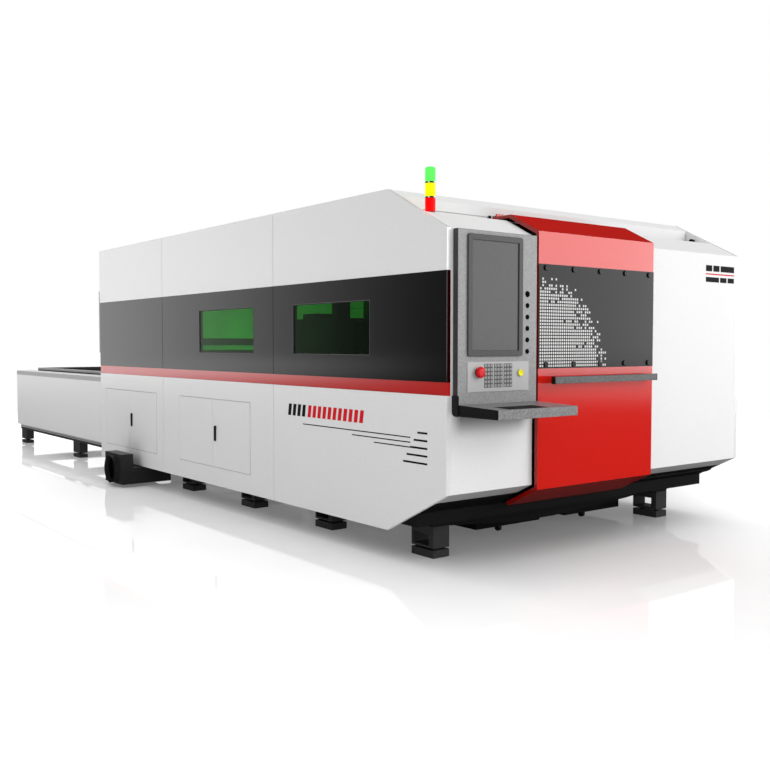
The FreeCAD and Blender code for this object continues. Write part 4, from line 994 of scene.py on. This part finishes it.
def studio_world():
    """White to the eye; in reflections bright low towards the rear, dim elsewhere."""
    look = WorldLooks("studio")
    path = look.add("ShaderNodeLightPath")
    x, _, z = look.axes()
    side = look.math("MULTIPLY", smooth_step(look, x, -0.70, -0.36, 0.03, 1.35),
                     look.math("MAXIMUM", smooth_step(look, x, 0.40, 0.55, 1.0, 0.25),
                               smooth_step(look, x, 0.76, 0.85, 0.0, 1.0)))
    height = smooth_step(look, z, 0.08, 0.30, 1.0, 0.04)
    seen = look.math("MULTIPLY", side, height)
    glossy = path.outputs["Is Glossy Ray"]
    light = look.math("ADD", look.math("MULTIPLY", glossy, seen),
                      look.math("MULTIPLY", look.math("SUBTRACT", 1.0, glossy), DIFFUSE_SKY))
    clear = look.math("MAXIMUM", path.outputs["Is Camera Ray"],
                      path.outputs["Is Transmission Ray"])
    look.link(look.math("MAXIMUM", light, clear), look.backdrop.inputs["Strength"])


def softbox(name, place, aim, width, height, power, glossy=False, diffuse=True):
    data = bpy.data.lights.new(name, "AREA")
    data.shape = "RECTANGLE"
    data.size = width
    data.size_y = height
    data.energy = power
    lamp = bpy.data.objects.new(name, data)
    lamp.location = place
    lamp.rotation_euler = (Vector(aim) - Vector(place)).to_track_quat("-Z", "Y").to_euler()
    lamp.visible_glossy = glossy
    lamp.visible_diffuse = diffuse
    lamp.visible_camera = False
    lamp.visible_transmission = False
    bpy.context.collection.objects.link(lamp)
    return lamp


def light_only(lamp, name, thing, state):
    """Includes or excludes one object among those that a lamp lights."""
    chosen = bpy.data.collections.new(name)
    chosen.objects.link(thing)
    chosen.collection_objects[0].light_linking.link_state = state
    lamp.light_linking.receiver_collection = chosen


FLOOR_HALF = 70.0
FLOOR_FADE = (6.5, 12.0)          # where the seen floor turns plain white, from the middle
MIRRORED_FRONT = (16.0, 27.0)     # where the floor brightens in reflections, to the front
MIRRORED_FRONT_END = (29.0, 29.5)
MIRRORED_REAR = (18.0, 38.0)


def studio_floor():
    """Glossy white floor, darker near the machine in its reflections, white far off."""
    mesh = bpy.data.meshes.new("floor")
    half = FLOOR_HALF
    mesh.from_pydata([(-half, -half, 0), (half, -half, 0), (half, half, 0), (-half, half, 0)],
                     [], [(0, 1, 2, 3)])
    floor = bpy.data.objects.new("floor", mesh)
    bpy.context.collection.objects.link(floor)
    look = Looks("white_floor")
    look.put(Base_Color=look.ramp(look.noise(2.0), (0.84, 0.84, 0.84), (0.86, 0.86, 0.86)),
             Roughness=look.spread(look.noise(1.5), 0.03, 0.05), IOR=1.45)
    path = look.add("ShaderNodeLightPath")
    x, y, _ = look.axes()
    away = look.add("ShaderNodeVectorMath", operation="LENGTH")
    look.link(look.place, away.inputs[0])
    far = away.outputs["Value"]
    look.put(Emission_Color=(1, 1, 1, 1), Emission_Strength=0.12)
    front = look.math("MULTIPLY", smooth_step(look, far, *MIRRORED_FRONT, 0.02, 1.6),
                      smooth_step(look, far, *MIRRORED_FRONT_END, 1.0, 0.05))
    turn = look.math("DIVIDE", look.math("SUBTRACT", x, 2.2),
                     look.math("MAXIMUM", look.math("ADD", y, 8.5), 0.1))
    rear = look.math("MULTIPLY", smooth_step(look, far, *MIRRORED_REAR, 0.03, 1.4),
                     smooth_step(look, turn, -0.95, -0.49, 0.03, 1.0))
    ahead = look.math("GREATER_THAN", look.math("SUBTRACT", x, y), 0.0)
    tone = look.math("ADD", look.math("MULTIPLY", ahead, front),
                     look.math("MULTIPLY", look.math("SUBTRACT", 1.0, ahead), rear))
    mirrored = look.add("ShaderNodeEmission")
    look.link(tone, mirrored.inputs["Strength"])
    mix = look.add("ShaderNodeMixShader")
    look.link(path.outputs["Is Glossy Ray"], mix.inputs["Fac"])
    look.link(look.surface.outputs["BSDF"], mix.inputs[1])
    look.link(mirrored.outputs["Emission"], mix.inputs[2])
    backdrop = look.add("ShaderNodeEmission")
    horizon = look.add("ShaderNodeMixShader")
    look.link(look.math("MULTIPLY", path.outputs["Is Camera Ray"],
                        smooth_step(look, far, *FLOOR_FADE, 0.0, 1.0)), horizon.inputs["Fac"])
    look.link(mix.outputs["Shader"], horizon.inputs[1])
    look.link(backdrop.outputs["Emission"], horizon.inputs[2])
    look.link(horizon.outputs["Shader"], look.output.inputs["Surface"])
    mesh.materials.append(look.material)
    return floor


# Lamps: place, aim, width and height in metres, power in watts.
studio_world()
key = softbox("key", (6, -14, 6), (0, -3, 1), 8, 6, power=560)
fill = softbox("fill", (-12, -4, 6), (0, -1, 1), 8, 5, power=25)
softbox("top", (0, 0, 9), (0, 0, 0), 6, 10, power=180)
softbox("inside_light", at(1500, 2300, 2120), at(1500, 5423, 1500), 2.2, 0.25, power=18)

# A far bright wall that only the front's reflections see.
REFLECTOR_AIM = (0, -4.5, 4.0)
REFLECTOR_AWAY = 27.0
REFLECTOR_TURN = math.radians(48)
REFLECTOR_WIDTH, REFLECTOR_HEIGHT = 26, 7.4
REFLECTOR_GLOW = 4.1
reflector_x = REFLECTOR_AWAY * math.sin(REFLECTOR_TURN)
reflector_y = REFLECTOR_AIM[1] - REFLECTOR_AWAY * math.cos(REFLECTOR_TURN)
softbox("reflector", (reflector_x, reflector_y, REFLECTOR_AIM[2]), REFLECTOR_AIM,
        REFLECTOR_WIDTH, REFLECTOR_HEIGHT,
        power=REFLECTOR_GLOW * math.pi * REFLECTOR_WIDTH * REFLECTOR_HEIGHT,
        glossy=True, diffuse=False)
floor = studio_floor()
light_only(key, "unlit_by_key", floor, "EXCLUDE")
light_only(fill, "unlit_by_fill", floor, "EXCLUDE")
floor_light = softbox("floor_light", (-1, -2, 10), (-1, -2, 0), 24, 24, power=1500)
light_only(floor_light, "lit_by_floor_light", floor, "INCLUDE")

bpy.context.scene.view_settings.view_transform = "Standard"
